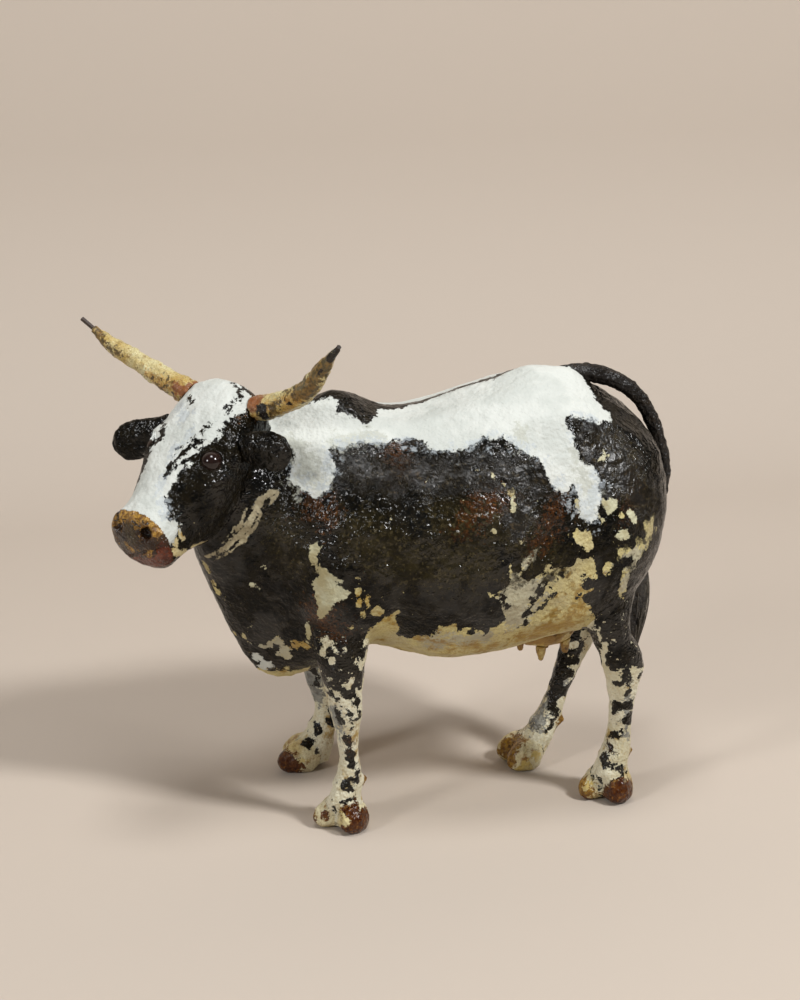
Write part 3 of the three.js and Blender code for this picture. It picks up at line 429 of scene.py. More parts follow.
coat = {
    "voxel": 1.25, "rounds": 8, "calmRounds": 30, "calmFrom": (-100.0, 100.0), "calmSpan": 30.0,
    "fineVoxel": 0.85, "fineRounds": 10, "creaseReach": 5.0, "creaseRounds": 6,
    "feetBelow": 40.0, "feetSpan": 14.0, "legsBelow": 136.0, "headBefore": -56.0,
    "underWhite": 0.6, "inset": 0.2, "cleft": (1.3, 0.9),
    "folds": ((2.0, 1.0, [(88, -58, 152), (80, -60, 134), (66, -57, 112)]),
              (1.6, 0.8, [(80, -62, 148), (70, -62, 130), (60, -58, 112)]),
              (1.8, 0.8, [(-54, -40, 130), (-56, -36, 112)])),
    "swells": ((14, 4.5, (-26, -4, 236)), (14, 3.5, (80, -4, 244)), (10, 4.0, (100, -3, 240))),
    "footSwells": ((8, 3.5, (-50, -36, 6)), (9, -2.5, (-18, -44, 14)), (8, 3.5, (106, -30, 5)),
                   (8, -2.0, (138, -36, 14)), (9, 5.0, (-62, 36, 6)), (8, 2.5, (-39, -48, 18)),
                   (8, 2.5, (119, -38, 18)), (8, 2.5, (-50, 42, 18)), (8, 2.0, (76, 22, 16))),
    "footReach": 16.0, "cleftBelow": 16.0,
    "lumps": ((9.0, 0.55), (4.5, 0.42), (2.4, 0.16)),
    "darkAbove": 84.0,
    "white": {
        "outlines": [[
            (-72, 10), (-70, 24), (-62, 24), (-57, 22), (-55, 28), (-58, 36), (-59, 41), (-55, 45), (-51, 47),
            (-46, 52), (-41, 50), (-37, 45), (-35, 39), (-37, 33), (-36, 30), (-29, 30), (-20, 28), (-10, 29),
            (1, 27), (7, 26), (13, 30), (18, 35), (26, 37), (35, 37), (41, 35), (45, 33), (52, 34), (60, 36),
            (65, 41), (74, 44), (77, 50), (80, 57), (85, 59), (90, 56), (92, 60), (94, 70), (99, 74), (103, 71),
            (105, 60), (106, 53), (102, 48), (96, 46), (94, 40), (93, 35), (89, 30), (94, 28), (100, 29), (109, 29),
            (117, 26), (117, 21), (111, 16), (110, 8), (107, 3), (106, -8), (112, -20), (107, -34), (96, -38),
            (93, -55), (84, -66), (76, -58), (70, -46), (58, -41), (45, -47), (30, -52), (14, -44), (2, -36),
            (-12, -38), (-24, -46), (-33, -58), (-42, -62), (-50, -52), (-56, -38), (-66, -30), (-74, -16)]],
        "holes": [[(-30, 13), (-29, 8), (-36, 6), (-46, 4), (-52, -2), (-46, -16), (-30, -20), (-13, -13), (-5, -4),
                   (-6, 5), (-9, 13), (-15, 19), (-20, 16)]],
        "gaps": [
            (2.4, [(74, -6), (60, -2), (46, -5), (33, -6), (21, -3), (9, 0), (-1, 3), (-9, 4)]),
            (3.0, [(-12, 3), (-4, 1), (6, -2), (14, -4)]),
            (1.0, [(98, 44), (101, 46)])],
        "strokes": [(3.4, [(-75, -14, 93), (-70, -12, 90)]), (2.4, [(-72, -10, 86), (-68, -13, 88)])],
    },
    "chips": {
        "outlines": [
            [(-47, 75), (-44, 79), (-46, 83), (-45, 89), (-41, 92), (-34, 96), (-38, 98), (-31, 102), (-35, 107),
             (-40, 110), (-43, 120), (-46, 124), (-47, 114), (-48, 105), (-49, 100), (-46, 95), (-48, 90), (-51, 86),
             (-51, 82), (-49, 79)],
            [(105, 62), (114, 63), (114, 67), (109, 70), (106, 66)],
            [(91, 61), (94, 63), (94, 68), (91, 65)],
            [(109, 40), (112, 42), (110, 45), (105, 45), (108, 43)],
            [(116, 77), (120, 77), (121, 82), (116, 82), (114, 80)],
            [(56, 59), (57.5, 60), (57, 66), (55.5, 66)]],
        "lines": [(1.5, [(122, 69), (124, 73)]), (1.2, [(104, 70), (106, 72)]), (0.8, [(60, 80)]),
                  (0.9, [(38, 46), (39, 47)]), (0.7, [(47, 50)]), (0.6, [(52, 53), (53, 54)]), (0.6, [(30, 60)]),
                  (0.6, [(12, 50)]), (0.6, [(-8, 66)]), (0.6, [(20, 84)]), (0.7, [(46, 74)]), (0.6, [(70, 62)])],
        "strokes": [(1.3, [(-51, -41, 126), (-50, -42, 118), (-50, -38, 111)]), (0.9, [(-73, -38, 153)]),
                    (0.8, [(-79, -34, 143), (-76, -35, 141)]), (0.9, [(-80, -24, 116)]), (0.8, [(-76, -27, 115)]),
                    (0.7, [(-66, -38, 170)]), (0.6, [(-58, -44, 150)])],
    },
    "strands": {
        "strokes": [(1.1, [(-67, -37, 196), (-74, -37, 193), (-79, -38, 184), (-82, -38, 179)]),
                    (0.9, [(-69, -37, 197), (-77, -37, 189), (-80, -38, 182)]),
                    (1.1, [(-74, -37, 190), (-79, -38, 181), (-85, -37, 173)]),
                    (0.9, [(-73, -37, 188), (-77, -38, 179), (-84, -37, 169)]),
                    (0.9, [(-82, -38, 188), (-85, -38, 180), (-88, -38, 174), (-92, -37, 168)]),
                    (1.0, [(-81, -38, 179), (-87, -37, 171), (-93, -36, 165), (-100, -34, 161)]),
                    (1.1, [(-84, -37, 175), (-91, -37, 168), (-98, -35, 163), (-105, -29, 158)]),
                    (0.8, [(-82, -37, 172), (-90, -36, 164), (-99, -34, 158)]),
                    (0.6, [(-64, -38, 197), (-69, -38, 190)]), (0.5, [(-88, -38, 178), (-95, -35, 169)])],
    },
    "bare": {
        "outlines": [
            [(-20, 133), (-17, 125), (-14, 114), (-8, 118), (-5, 114), (-2, 122), (-1, 133), (9, 130), (15, 125),
             (18, 121), (24, 119), (30, 121), (40, 125), (46, 122), (52, 119), (53, 113), (51, 108), (52, 105),
             (45, 103), (49, 101), (50, 98), (55, 92), (61, 96), (62, 93), (60, 89), (64, 86), (69, 82), (71, 84),
             (68, 88), (64, 91), (66, 94), (65, 97), (75, 94), (85, 93), (94, 91), (100, 89), (103, 93), (103, 98),
             (105, 102), (100, 103), (96, 101), (94, 104), (101, 108), (94, 111), (100, 114), (106, 127),
             (104, 150), (98, 200), (86, 216), (74, 226), (62, 221), (48, 231), (34, 225), (18, 236), (4, 228),
             (-8, 240), (-20, 224), (-24, 190), (-22, 160)],
            [(90, 83), (89, 79), (97, 75), (102, 78), (102, 84), (99, 88), (93, 85)],
            [(138, 70), (140, 80), (134, 91), (128, 97), (123, 104), (120, 113), (119, 120), (117, 110), (118, 100),
             (123, 95), (116, 91), (114, 87), (122, 86), (129, 83), (133, 77)],
            [(107, 93), (112, 90), (116, 94), (111, 98), (106, 100), (104, 102), (104, 97)],
            [(-38, 240), (-30, 252), (-34, 236), (-44, 228), (-46, 236)],
            [(96, 236), (108, 244), (112, 232), (104, 224), (96, 228)]],
        "strokes": [
            (0.9, [(-104, -27, 154), (-101, -26, 146), (-98, -22, 137), (-92, -22, 128)]),
            (1.9, [(-105, -27, 154), (-103, -26, 149)]), (1.2, [(-100, -24, 141)]),
            (4.2, [(-64, -27, 107), (-60, -25, 98)]), (2.0, [(-68, -20, 103), (-64, -22, 100)]),
            (3.4, [(-56, -30, 105), (-51, -34, 107)]), (1.3, [(-79, -18, 104), (-75, -20, 105), (-71, -21, 103)]),
            (1.2, [(-72, -21, 108), (-69, -23, 106), (-67, -22, 100)]),
            (1.6, [(-70, -3, 79), (-61, -4, 78), (-51, -11, 82), (-46, -18, 89)]),
            (1.0, [(-87, -17, 113), (-84, -18, 108)]), (1.2, [(-89, -12, 118), (-86, -13, 110)]),
            (1.0, [(124, -56, 177)]), (0.8, [(117, -58, 179)]), (1.0, [(56, -58, 197), (56, -59, 192)]),
            (0.7, [(38, -66, 172)]), (0.9, [(-27, -63, 155)]), (1.8, [(-26, -62, 148), (-26, -60, 138)]),
            (1.3, [(-22, -61, 141), (-20, -60, 137)]), (2.0, [(-17, -58, 133), (-12, -56, 128)]),
            (1.2, [(-24, -59, 134), (-24, -58, 131)]), (0.8, [(-28, -52, 121)]),
            (1.2, [(-92, 30, 160), (-84, 37, 172), (-76, 39, 186)]), (1.0, [(-60, 32, 112), (-66, 26, 104)])],
        # the two gaps are painted shade: dark lines along the creases of the flank folds
        "gaps": [(0.8, [(83, 95), (75, 110), (65, 125)]), (0.5, [(77, 97), (70, 108), (64, 117)])],
        "cuts": [(2.2, [(-65, -15, 88), (-56, -18, 89), (-48, -25, 94)])],
    },
    "ochre": {
        "strokes": [(7, [(20, -52, 102), (60, -50, 100), (90, -48, 118), (97, -55, 138)]), (5, [(-24, -60, 140)]),
                    (9, [(0, -20, 82), (60, 0, 84), (96, 20, 100)]), (5, [(-10, -56, 124), (8, -54, 112)]),
                    (6, [(-54, -33, 106), (-50, -40, 116)]), (9, [(20, 48, 98), (70, 48, 104), (96, 52, 130)]),
                    (5, [(-88, -36, 172)])],
    },
    "rust": {
        "strokes": [(7, [(-47, -46, 193), (-42, -51, 186)]), (8, [(-3, -38, 213), (-1, -45, 207)]),
                    (9, [(39, -61, 190), (50, -60, 192)]), (7, [(83, -58, 190), (76, -62, 178)]), (7, [(33, -63, 183)]),
                    (6, [(71, -65, 170)]), (9, [(-45, -49, 130), (-40, -52, 122)]),
                    (6, [(127, -50, 196), (120, -54, 180)]),
                    (9, [(10, 58, 190), (36, 62, 186)]), (8, [(90, 60, 180)]), (7, [(-50, 48, 180)])],
    },
    "ash": {
        "lines": [(9, [(50, 112), (58, 102), (66, 104), (60, 116)]), (5, [(118, 96), (128, 92), (120, 110)]),
                  (5, [(104, 64), (112, 66)]), (4, [(60, 90), (70, 84)]), (5, [(14, 132), (44, 130)]),
                  (6, [(-44, 80), (-44, 92)])],
        "strokes": [(9, [(-74, -18, 104), (-61, -26, 100)])],
    },
    "olive": {
        "strokes": [(10, [(-62, -41, 176), (-56, -46, 160)]), (14, [(-24, -60, 176), (0, -66, 160), (34, -66, 160)]),
                    (12, [(20, -62, 184), (60, -64, 176)]), (9, [(60, -66, 150), (76, -64, 158)]),
                    (10, [(116, -42, 214), (124, -48, 196), (130, -44, 178)]), (12, [(-20, 58, 160), (40, 66, 160)])],
    },
    "satin": {
        "strokes": [(13, [(106, -46, 216), (122, -50, 200), (131, -46, 178), (128, -50, 158)]),
                    (9, [(-22, -44, 208), (10, -50, 206), (50, -54, 204), (82, -54, 198)]), (8, [(60, -62, 184)])],
    },
    # painted shade: grey on the white along its lower rim, where it turns under
    "painted_grey_shade": {
        "lines": [(9, [(-56, 30), (-46, 44)]), (4, [(-30, 27), (-12, 26)]), (3, [(94, 44), (100, 60)]),
                  (4, [(66, 34)])],
    },
    # painted shade: blue-grey along the lower rims of the white saddle, where the white turns away from the light
    "painted_blue_shade": {
        "lines": [(2.0, [(-58, 38), (-50, 46), (-42, 50), (-36, 40), (-36, 31), (-20, 29), (0, 28), (10, 29)]),
                  (2.0, [(18, 36), (38, 37), (52, 35), (62, 39), (74, 45)]),
                  (4.0, [(84, 57), (92, 61), (98, 72), (102, 66), (104, 54)]), (2.0, [(92, 34), (96, 28), (108, 28)])],
    },
}

legPaint = {
    "dark": {
        "strokes": [
            (10.5, [(-35, -50, 128), (-33, -46, 104), (-32, -44, 90)]), (4.0, [(-29, -46, 86), (-30, -46, 78)]),
            (1.4, [(-25, -48, 80), (-25, -47, 68), (-29, -49, 63)]), (1.1, [(-37, -48, 74), (-34, -48, 66)]),
            (5.0, [(-38, -46, 94), (-36, -46, 84)]), (5.0, [(-31, -48, 88), (-30, -48, 84)]),
            (0.9, [(-37, -48, 68), (-32, -49, 64), (-27, -48, 67)]),
            (0.8, [(-34, -49, 76), (-30, -49, 74), (-29, -49, 70)]),
            (0.8, [(-45, 37, 104), (-41, 36, 84), (-37, 36, 70)]), (0.9, [(-36, 36, 60), (-34, 36, 46)]),
            (2.6, [(-30, -45, 55), (-30, -45, 52)]), (3.4, [(-29, -46, 46), (-28, -46, 40)]),
            (2.0, [(-25, -44, 36), (-25, -46, 29)]), (2.8, [(-32, -46, 29), (-29, -47, 26)]),
            (1.9, [(-38, -44, 20)]), (2.2, [(-32, -48, 20), (-28, -49, 20)]), (1.6, [(-34, -45, 12)]),
            (9.0, [(-36, 38, 128), (-36, 37, 96)]), (3.6, [(-39, 35, 29), (-36, 35, 24)]),
            (3.6, [(-44, 35, 22), (-41, 34, 19)]),
            (2.6, [(-36, 35, 34), (-33, 35, 30)]), (2.0, [(-50, 36, 22)]),
            (2.0, [(-36, 35, 15)]), (1.6, [(-32, 35, 36), (-31, 36, 30)]), (1.6, [(-43, 38, 38)]),
            (9.5, [(112, -56, 142), (115, -47, 114), (118, -42, 98)]), (6.5, [(119, -42, 96), (123, -42, 88)]),
            (4.0, [(122, -42, 88), (128, -41, 80)]),
            (1.6, [(122, -40, 76), (125, -40, 72)]), (1.2, [(128, -40, 70), (124, -38, 66)]),
            (2.6, [(135, -39, 94), (135, -38, 76)]), (3.0, [(122, -36, 62), (131, -37, 60)]),
            (2.2, [(121, -36, 60), (121, -35, 50)]), (2.6, [(123, -36, 50), (132, -35, 49)]),
            (2.2, [(132, -36, 60), (132, -36, 50)]), (2.2, [(127, -36, 44), (124, -35, 41)]),
            (3.2, [(118, -34, 33), (117, -33, 27)]), (2.6, [(120, -35, 23), (126, -36, 20)]), (1.6, [(113, -30, 14)]),
            (11.0, [(112, 32, 130), (110, 28, 96), (107, 25, 70)]), (5.0, [(106, 25, 58), (102, 25, 50)]),
            (4.5, [(103, 24, 46), (98, 23, 36)]), (4.6, [(96, 18, 38), (91, 16, 30)]),
            (2.4, [(104, 20, 33), (99, 17, 25)])],
    },
    "bare": {
        "strokes": [
            (1.5, [(-43, -49, 116), (-40, -51, 113), (-38, -52, 110)]), (1.5, [(-43, -50, 107), (-40, -51, 104)]),
            (1.1, [(-32, -52, 110)]), (2.4, [(-29, -52, 92), (-29, -51, 87)]), (1.2, [(-33, -52, 89)]),
            (1.0, [(-36, -51, 98)]), (1.6, [(-26, -51, 104), (-24, -49, 98)]), (1.2, [(-38, -48, 92)]),
            (2.6, [(-21, -45, 110), (-20, -43, 94), (-22, -45, 78)]),
            (2.2, [(99, -57, 131), (106, -46, 113), (111, -43, 103), (115, -37, 86)]),
            (1.5, [(121, -54, 134), (126, -47, 120), (131, -44, 105), (132, -42, 92)]),
            (1.0, [(117, -47, 104)]),
            (1.9, [(101, 23, 70), (98, 23, 54)]), (2.0, [(-28, 40, 110), (-30, 38, 84)])],
    },
    "ochre": {"strokes": [(4, [(-26, 38, 24)]), (4, [(134, -26, 26)]), (3, [(-30, -40, 26)]), (4, [(100, -50, 126)]),
                          (4, [(106, 28, 24)]), (3, [(-24, -46, 56)])]},
    "rust": {"strokes": [(3, [(-26, -45, 53)]), (4, [(118, -34, 34)]), (3, [(-44, 38, 12)])]},
    "smoke": {"strokes": [(8, [(-46, 42, 96), (-40, 38, 60), (-38, 37, 46)]), (3.5, [(-38, -46, 72), (-36, -46, 66)]),
                          (6, [(104, 22, 50), (96, 22, 40), (90, 22, 28)]), (2.5, [(128, -37, 68), (130, -37, 42)]),
                          (2.0, [(-36, -45, 60), (-35, -45, 52)])]},
    "hoof": {"strokes": [(7.5, [(-20, -49, 8), (-28, -53, 5)]), (5.0, [(-35, -53, 3)]),
                         (4.0, [(-26, -50, 16), (-32, -52, 13)]), (2.6, [(-48, -38, 3)]), (2.2, [(-43, -44, 9)]),
                         (1.6, [(-38, -48, 3)]),
                         (9.5, [(-62, 35, 5), (-54, 35, 5)]), (7.0, [(-62, 55, 4)]),
                         (9.5, [(130, -39, 5), (120, -43, 4)]), (4.5, [(126, -41, 13)]), (2.0, [(108, -30, 2)])]},
    "gold": {"strokes": [(4.0, [(-48, -34, 6)]), (3.0, [(-35, -52, 13), (-31, -54, 12)]), (2.4, [(-30, -55, 4)]),
                         (8.0, [(106, -28, 5)]), (9.0, [(72, 18, 9), (78, 24, 11)]), (5.0, [(72, 34, 6)]),
                         (4.0, [(-34, 48, 6)]), (3.0, [(122, -42, 14)]), (2.5, [(-54, 40, 14)]),
                         (3.5, [(-18, -37, 26)]), (3.5, [(137, -25, 26)]), (3.0, [(-22, 40, 26)]),
                         (3.0, [(108, 24, 26)])]},
    "patch": {"strokes": [(3.4, [(-38, -50, 13), (-34, -55, 9)]), (3.4, [(80, 12, 3), (86, 11, 4)]),
                          (3.5, [(90, 12, 9)]), (1.8, [(112, -30, 12), (108, -32, 8)]), (2.0, [(-45, 33, 9)])]},
}
face = {
    "lumps": ((7.0, 0.4), (3.5, 0.28), (1.8, 0.12)), "inside": -52.0, "eyeRing": (6.6, 0.7, 0.7),
    "presses": (((-9, 20, 22), 6.0, 0.8), ((-9, -20, 22), 6.0, 0.8), ((-3, -26, 16), 9.0, 4.5),
                ((47.4, 8.7, 7.9), 3.0, -3.2),
                ((46.1, -12.7, 12.8), 2.5, -2.6), ((8, 25, 2), 10.0, 0.8)),
    "mouth": ((55.5, -9, -8), (55.5, -5.1, -6.6), (54.8, 6.7, -0.5), (52.1, 14.8, 0.5), (46.6, 18.3, -1.1)),
    "mouthCut": (1.3, 1.0),
    "white": {
        "outlines": [[
            (-56, 30), (-47, 54), (-38, 60), (-32, 58), (-28, 49), (-22, 46), (-18, 49), (-14, 52), (-9, 49), (-5, 42),
            (1, 41), (4, 39), (7, 41), (11, 35), (16, 36), (21, 37), (25, 38), (29, 43), (32, 54), (35, 64), (34, 78),
            (36, 92), (44, 98), (56, 80), (60, 0), (56, -70), (44, -72), (36, -66), (28, -56), (22, -48), (16, -47),
            (7, -46), (4, -42), (-1, -55), (-6, -64), (-12, -68), (-18, -70), (-24, -60), (-30, -52), (-38, -50),
            (-50, -44), (-58, -20)]],
        "gaps": [
            (0.9, [(-48, 22), (-44, 36), (-40, 43), (-33, 42), (-28, 44)]), (0.9, [(-37, 46), (-30, 38)]),
            (0.8, [(-54, -4), (-51, 22), (-47, 42)]),
            (1.0, [(-18, 35), (-15, 28), (-11, 26), (-6, 22), (-2, 12), (1, 7), (8, 7), (12, 11)]),
            (1.5, [(-7, 34), (-2, 26), (2, 19), (7, 16)]), (1.4, [(1, 41), (5, 35), (7, 31), (11, 22)]),
            (1.0, [(13, 16), (17, 15)]), (1.8, [(-15, -68), (-10, -72), (-1, -48), (6, -51)]),
            (1.6, [(-14, -67), (-12, -45), (-4, -34), (1, -44)]), (0.7, [(-30, -30), (-27, -18)])],
    },
    "bare": {"lines": [(2.0, [(45, 117), (38, 150), (30, 168)]), (1.6, [(42, 96), (43, 112), (50, 107)]),
                       (1.4, [(35, 147), (20, 160)]), (0.9, [(37, 92), (38, 112)])]},
    "rust": {"lines": [(3.0, [(-46, 55), (-40, 55), (-34, 54), (-38, 60)])]},
    # painted shade: blue-grey in the hollows of the white on the face
    "painted_blue_shade": {"lines": [(3.5, [(-24, -34), (-18, -16)]), (2.5, [(30, 40), (34, 60)]), (2.5, [(-8, 8), (4, 0)]),
                       (2.0, [(18, 10), (26, 20)])]},
}
muzzlePaint = {
    "gold": {"strokes": [(4.6, [(-153, -38, 184), (-151, -41, 188), (-145, -46, 191), (-140, -51, 191),
                                (-135, -55, 190), (-131, -58, 187)]), (1.5, [(-148, -45, 184)]),
                         (1.8, [(-131, -57, 178), (-134, -55, 173)]), (1.4, [(-140, -52, 172)]),
                         (1.6, [(-139, -54, 180)]), (1.5, [(-153, -38, 178), (-151, -40, 171)]),
                         (0.9, [(-146, -46, 174), (-143, -48, 168)])]},
    "grey": {"strokes": [(4.0, [(-145, -50, 183), (-143, -52, 178)]), (2.5, [(-147, -44, 173)])]},
    "nostril": {"strokes": [(2.4, [(-136, -55, 183)]), (2.2, [(-151, -40, 187)]), (1.5, [(-138, -53, 176)]),
                            (1.2, [(-147, -46, 178)])]},
    "red": {"strokes": [(5.6, [(-144, -44, 162), (-137, -49, 162), (-131, -55, 165), (-127, -58, 171)])]},
}


def joined(first, second):
    return {key: first.get(key, []) + second.get(key, []) for key in set(first) | set(second)}


# How far each point lies from the cleft between the two claws of its foot.
def cleftGap(points):
    gaps = np.full(len(points), -nowhere)
    for foot in ("fore_left", "fore_right", "hind_left", "hind_right"):
        ends = [np.array(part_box("claw_" + foot + side)).mean(axis=0) / millimetre for side in ("_left", "_right")]
        middle = (ends[0] + ends[1]) / 2
        across = (ends[1] - ends[0]) / np.linalg.norm(ends[1] - ends[0])
        near = np.linalg.norm((points - middle)[:, :2], axis=1) < coat["footReach"]
        near &= points[:, 2] < coat["cleftBelow"]
        gaps = np.where(near, np.minimum(gaps, np.abs((points - middle) @ across)), gaps)
    return gaps


def swellOf(points, swells):
    return sum(amount * np.exp(-(np.linalg.norm(points - np.array(at), axis=1) / reach) ** 2)
               for reach, amount, at in swells)


# The lumps that layers of pasted paper leave, lower under the thick white, and the presses of the head.
def reliefAt(points):
    white = fieldOf(points, onBarrel(points), barrel["perDegree"], coat["white"])
    own = inHead(points)
    inFace = own[:, 0] > face["inside"]
    relief = np.zeros(len(points))
    for chosen, sizes in ((inFace, face["lumps"]), (~inFace, coat["lumps"])):
        for seed, (size, amount) in enumerate(sizes):
            relief[chosen] += lumps(points[chosen], size, seed) * amount
    relief *= np.where((white > 0) & ~inFace, coat["underWhite"], 1.0)
    relief -= coat["inset"]
    for at, reach, amount in face["presses"]:
        relief += amount * np.exp(-(np.linalg.norm(own - np.array(at), axis=1) / reach) ** 2)
    depth, reach = face["mouthCut"]
    relief -= depth * np.exp(-(awayFrom(own, face["mouth"]) / reach) ** 2)
    radius, depth, reach = face["eyeRing"]
    for nodeName in ("eye_left", "eye_right"):
        low, high = boxOf(nodeName)
        gap = np.linalg.norm(points - (low + high) / 2, axis=1)
        relief -= depth * np.exp(-((gap - radius) / reach) ** 2)
    relief += swellOf(points, coat["swells"])
    depth, reach = coat["cleft"]
    relief -= depth * np.exp(-(cleftGap(points) / reach) ** 2)
    for reach, depth, path in coat["folds"]:
        relief -= depth * np.exp(-(awayFrom(points, path) / reach) ** 2)
    return relief


# How the coats wear, and how wide the painted shade in the claws' clefts is. A noise is its size, seed, amount and
# level; the side that the photo hides starts past farFrom.
wear = {
    "hem": (12, 5, 5, 0), "darkEdge": (4, 12, 3, 0), "bareEdge": (4.5, 9, 4.5, 0), "bareStretch": (1.0, 1.0, 0.7),
    "bareLess": 0.5, "farFrom": 4.0, "farSpan": 12.0, "spots": (8, 6, 14, 0.25), "spotsAbove": 20.0,
    "worn": (10, 7, 12, 0.42), "wornBelow": 150.0, "cleftShade": 0.7, "nearWhite": 4.0, "inWhite": 1.0, "pastDark": 0.5,
    "openBeyond": 0.5,
}


def wearOf(points, name):
    size, seed, amount, level = wear[name]
    return (lumps(points, size, seed) - level) * amount


def paintBody(mesh):
    points = pointsOf(mesh)
    flat = onBarrel(points)
    white = fieldOf(points, flat, barrel["perDegree"], coat["white"])
    byHeight = np.clip(points[:, 2] - coat["darkAbove"] + wearOf(points, "hem"), nowhere, -nowhere)
    dark = fieldOf(points, flat, barrel["perDegree"], legPaint["dark"], byHeight)
    away = np.clip((points[:, 1] - wear["farFrom"]) / wear["farSpan"], 0, 1)
    spots = wearOf(points, "spots") * away + nowhere * (1 - away)
    dark = np.maximum(dark, np.where(points[:, 2] > wear["spotsAbove"], spots, nowhere))
    dark += wearOf(points, "darkEdge")
    # painted shade: dark paint along the cleft between the two claws of each foot, where shade falls
    dark = np.maximum(dark, wear["cleftShade"] - cleftGap(points))
    bare = fieldOf(points, flat, barrel["perDegree"], joined(coat["bare"], legPaint["bare"]))
    worn = wearOf(points, "worn") * away + nowhere * (1 - away)
    bare = np.maximum(bare, np.where(points[:, 2] < wear["wornBelow"], worn, nowhere))
    bare += wearOf(points * np.array(wear["bareStretch"]), "bareEdge") - wear["bareLess"]
    dark = np.minimum(dark, -bare)
    addField(mesh, "white", white)
    addField(mesh, "dark", dark)
    covered = white
    for name in ("ash", "ochre", "rust", "painted_blue_shade", "painted_grey_shade", "olive", "chips", "strands", "smoke", "hoof",
                 "gold", "patch", "satin"):
        recipe = joined(coat.get(name, {}), legPaint.get(name, {}))
        field = fieldOf(points, flat, barrel["perDegree"], recipe)
        # the grey and blue-grey painted shade is kept to the white and its rim
        shadeOnWhite = np.minimum(field, np.where(white > -wear["nearWhite"], white - wear["inWhite"], field))
        onDark = np.minimum(field, dark + wear["pastDark"])
        if name in ("chips", "strands"):
            covered = np.maximum(covered, field)
        onOpen = np.where(covered > -wear["openBeyond"], nowhere, onDark)
        kept = {"painted_blue_shade": shadeOnWhite, "painted_grey_shade": shadeOnWhite, "olive": onDark, "rust": onDark, "satin": onOpen}
        addField(mesh, name, kept.get(name, field))


def paintFace(mesh):
    points = pointsOf(mesh)
    own = inHead(points)
    flat = onHead(points)
    white = fieldOf(own, flat, headFrame["perDegree"], face["white"])
    addField(mesh, "white", white)
    addField(mesh, "dark", -fieldOf(own, flat, headFrame["perDegree"], face["bare"]))
    # rust, and the blue-grey painted shade, which stays on the white
    for name in ("rust", "painted_blue_shade"):
        field = fieldOf(own, flat, headFrame["perDegree"], face[name])
        addField(mesh, name, np.minimum(field, white - wear["inWhite"]) if name == "painted_blue_shade" else field)
    for name in ("ash", "ochre", "olive", "chips", "strands", "painted_grey_shade"):
        addField(mesh, name, np.full(len(points), nowhere))


def paintMuzzle(mesh):
    points = pointsOf(mesh)
    for name, recipe in muzzlePaint.items():
        addField(mesh, name, fieldOf(points, points[:, :2], 1.0, recipe))


# One coat: its field, its two colours, how far its edge wanders, half its blur in mm, and its roughness.
def coatOf(field, colours, ragged, soft, rough, **more):
    return dict(more, field=field, colours=colours, ragged=ragged, soft=soft, rough=rough)


def changed(layers, field, **more):
    return [dict(layer, **more) if layer["field"] == field else layer for layer in layers]


def only(layers, field):
    return [layer for layer in layers if layer["field"] == field]


coatLayers = [
    coatOf("ash", ("#b2ae9a", "#9c9785"), 3.0, 1.5, 0.55, strength=0.8),
    coatOf("ochre", ("#b0913f", "#96742f"), 3.0, 3.0, 0.45, strength=0.8, mottle=7),
    coatOf("dark", ("#0a0907", "#17130b"), 0.9, 0.16, 0.13, thick=0.22, flakes=(0.69, 0.002),
           grains=("#2f2a1e", 0.56, 0.5), mottle=7),
    coatOf("olive", ("#2c2615", "#1c180d"), 4.0, 5.0, 0.16, strength=0.8, grains=("#544a31", 0.54, 0.6), mottle=7),
    coatOf("rust", ("#462811", "#2a1a0c"), 4.5, 2.5, 0.16, strength=0.85, flakes=(0.55, 0.0),
           grains=("#7d5228", 0.54, 0.5), mottle=7),
    coatOf("chips", ("#c3c1a3", "#aca27c"), 0.75, 0.25, 0.5, thick=0.12),
    coatOf("strands", ("#b0a689", "#8f8469"), 0.4, 0.3, 0.6, thick=0.1, mottle=7),
    coatOf("white", ("#d1d4ce", "#c4c8c2"), 0.8, 0.16, 0.6, thick=0.3, flakes=(0.64, 0.03), calm=0.4),
    # the next two coats are painted shade: grey and blue-grey on the white where it turns under or lies in a hollow
    coatOf("painted_grey_shade", ("#b5b7aa", "#a8aa9e"), 2.4, 2.0, 0.6, strength=0.6),
    coatOf("painted_blue_shade", ("#bcc4c8", "#a9b2b9"), 2.4, 1.8, 0.5, strength=0.55)]
satinLayer = coatOf("satin", ("#1c170e", "#100d08"), 4.0, 5.0, 0.34, strength=0.9, grains=("#4a402b", 0.55, 0.6),
                    mottle=7, calm=0.45)
bodyLayers = coatLayers + [satinLayer]
# oil and varnish over pasted paper: a near-black satin with a lumpy skin, and cream where it has flaked
coatPaint = layeredPaint("varnished oil paint on paper", {
    "ground": ("#c9bd86", "#b5aa82", "#977c3f"), "rough": 0.5, "roughSpread": 0.5, "layers": bodyLayers,
    "specular": (0.14, 0.42), "relief": ((3.4, 0.65), (1.6, 0.3))})
smokeLayer = coatOf("smoke", ("#595b5d", "#90918b"), 2.4, 1.0, 0.35, strength=0.9, mottle=7,
                    grains=("#2c2b29", 0.55, 0.7))
feetLayers = [
    coatOf("gold", ("#94702a", "#6d4a1a"), 1.4, 0.6, 0.22, thick=0.1, mottle=2.2),
    coatOf("hoof", ("#3a1804", "#532c0a"), 1.2, 0.5, 0.18, thick=0.12, mottle=2.2, grains=("#96652a", 0.56, 0.55)),
    coatOf("patch", ("#d2c696", "#bfa75f"), 1.0, 0.3, 0.35, thick=0.12)]
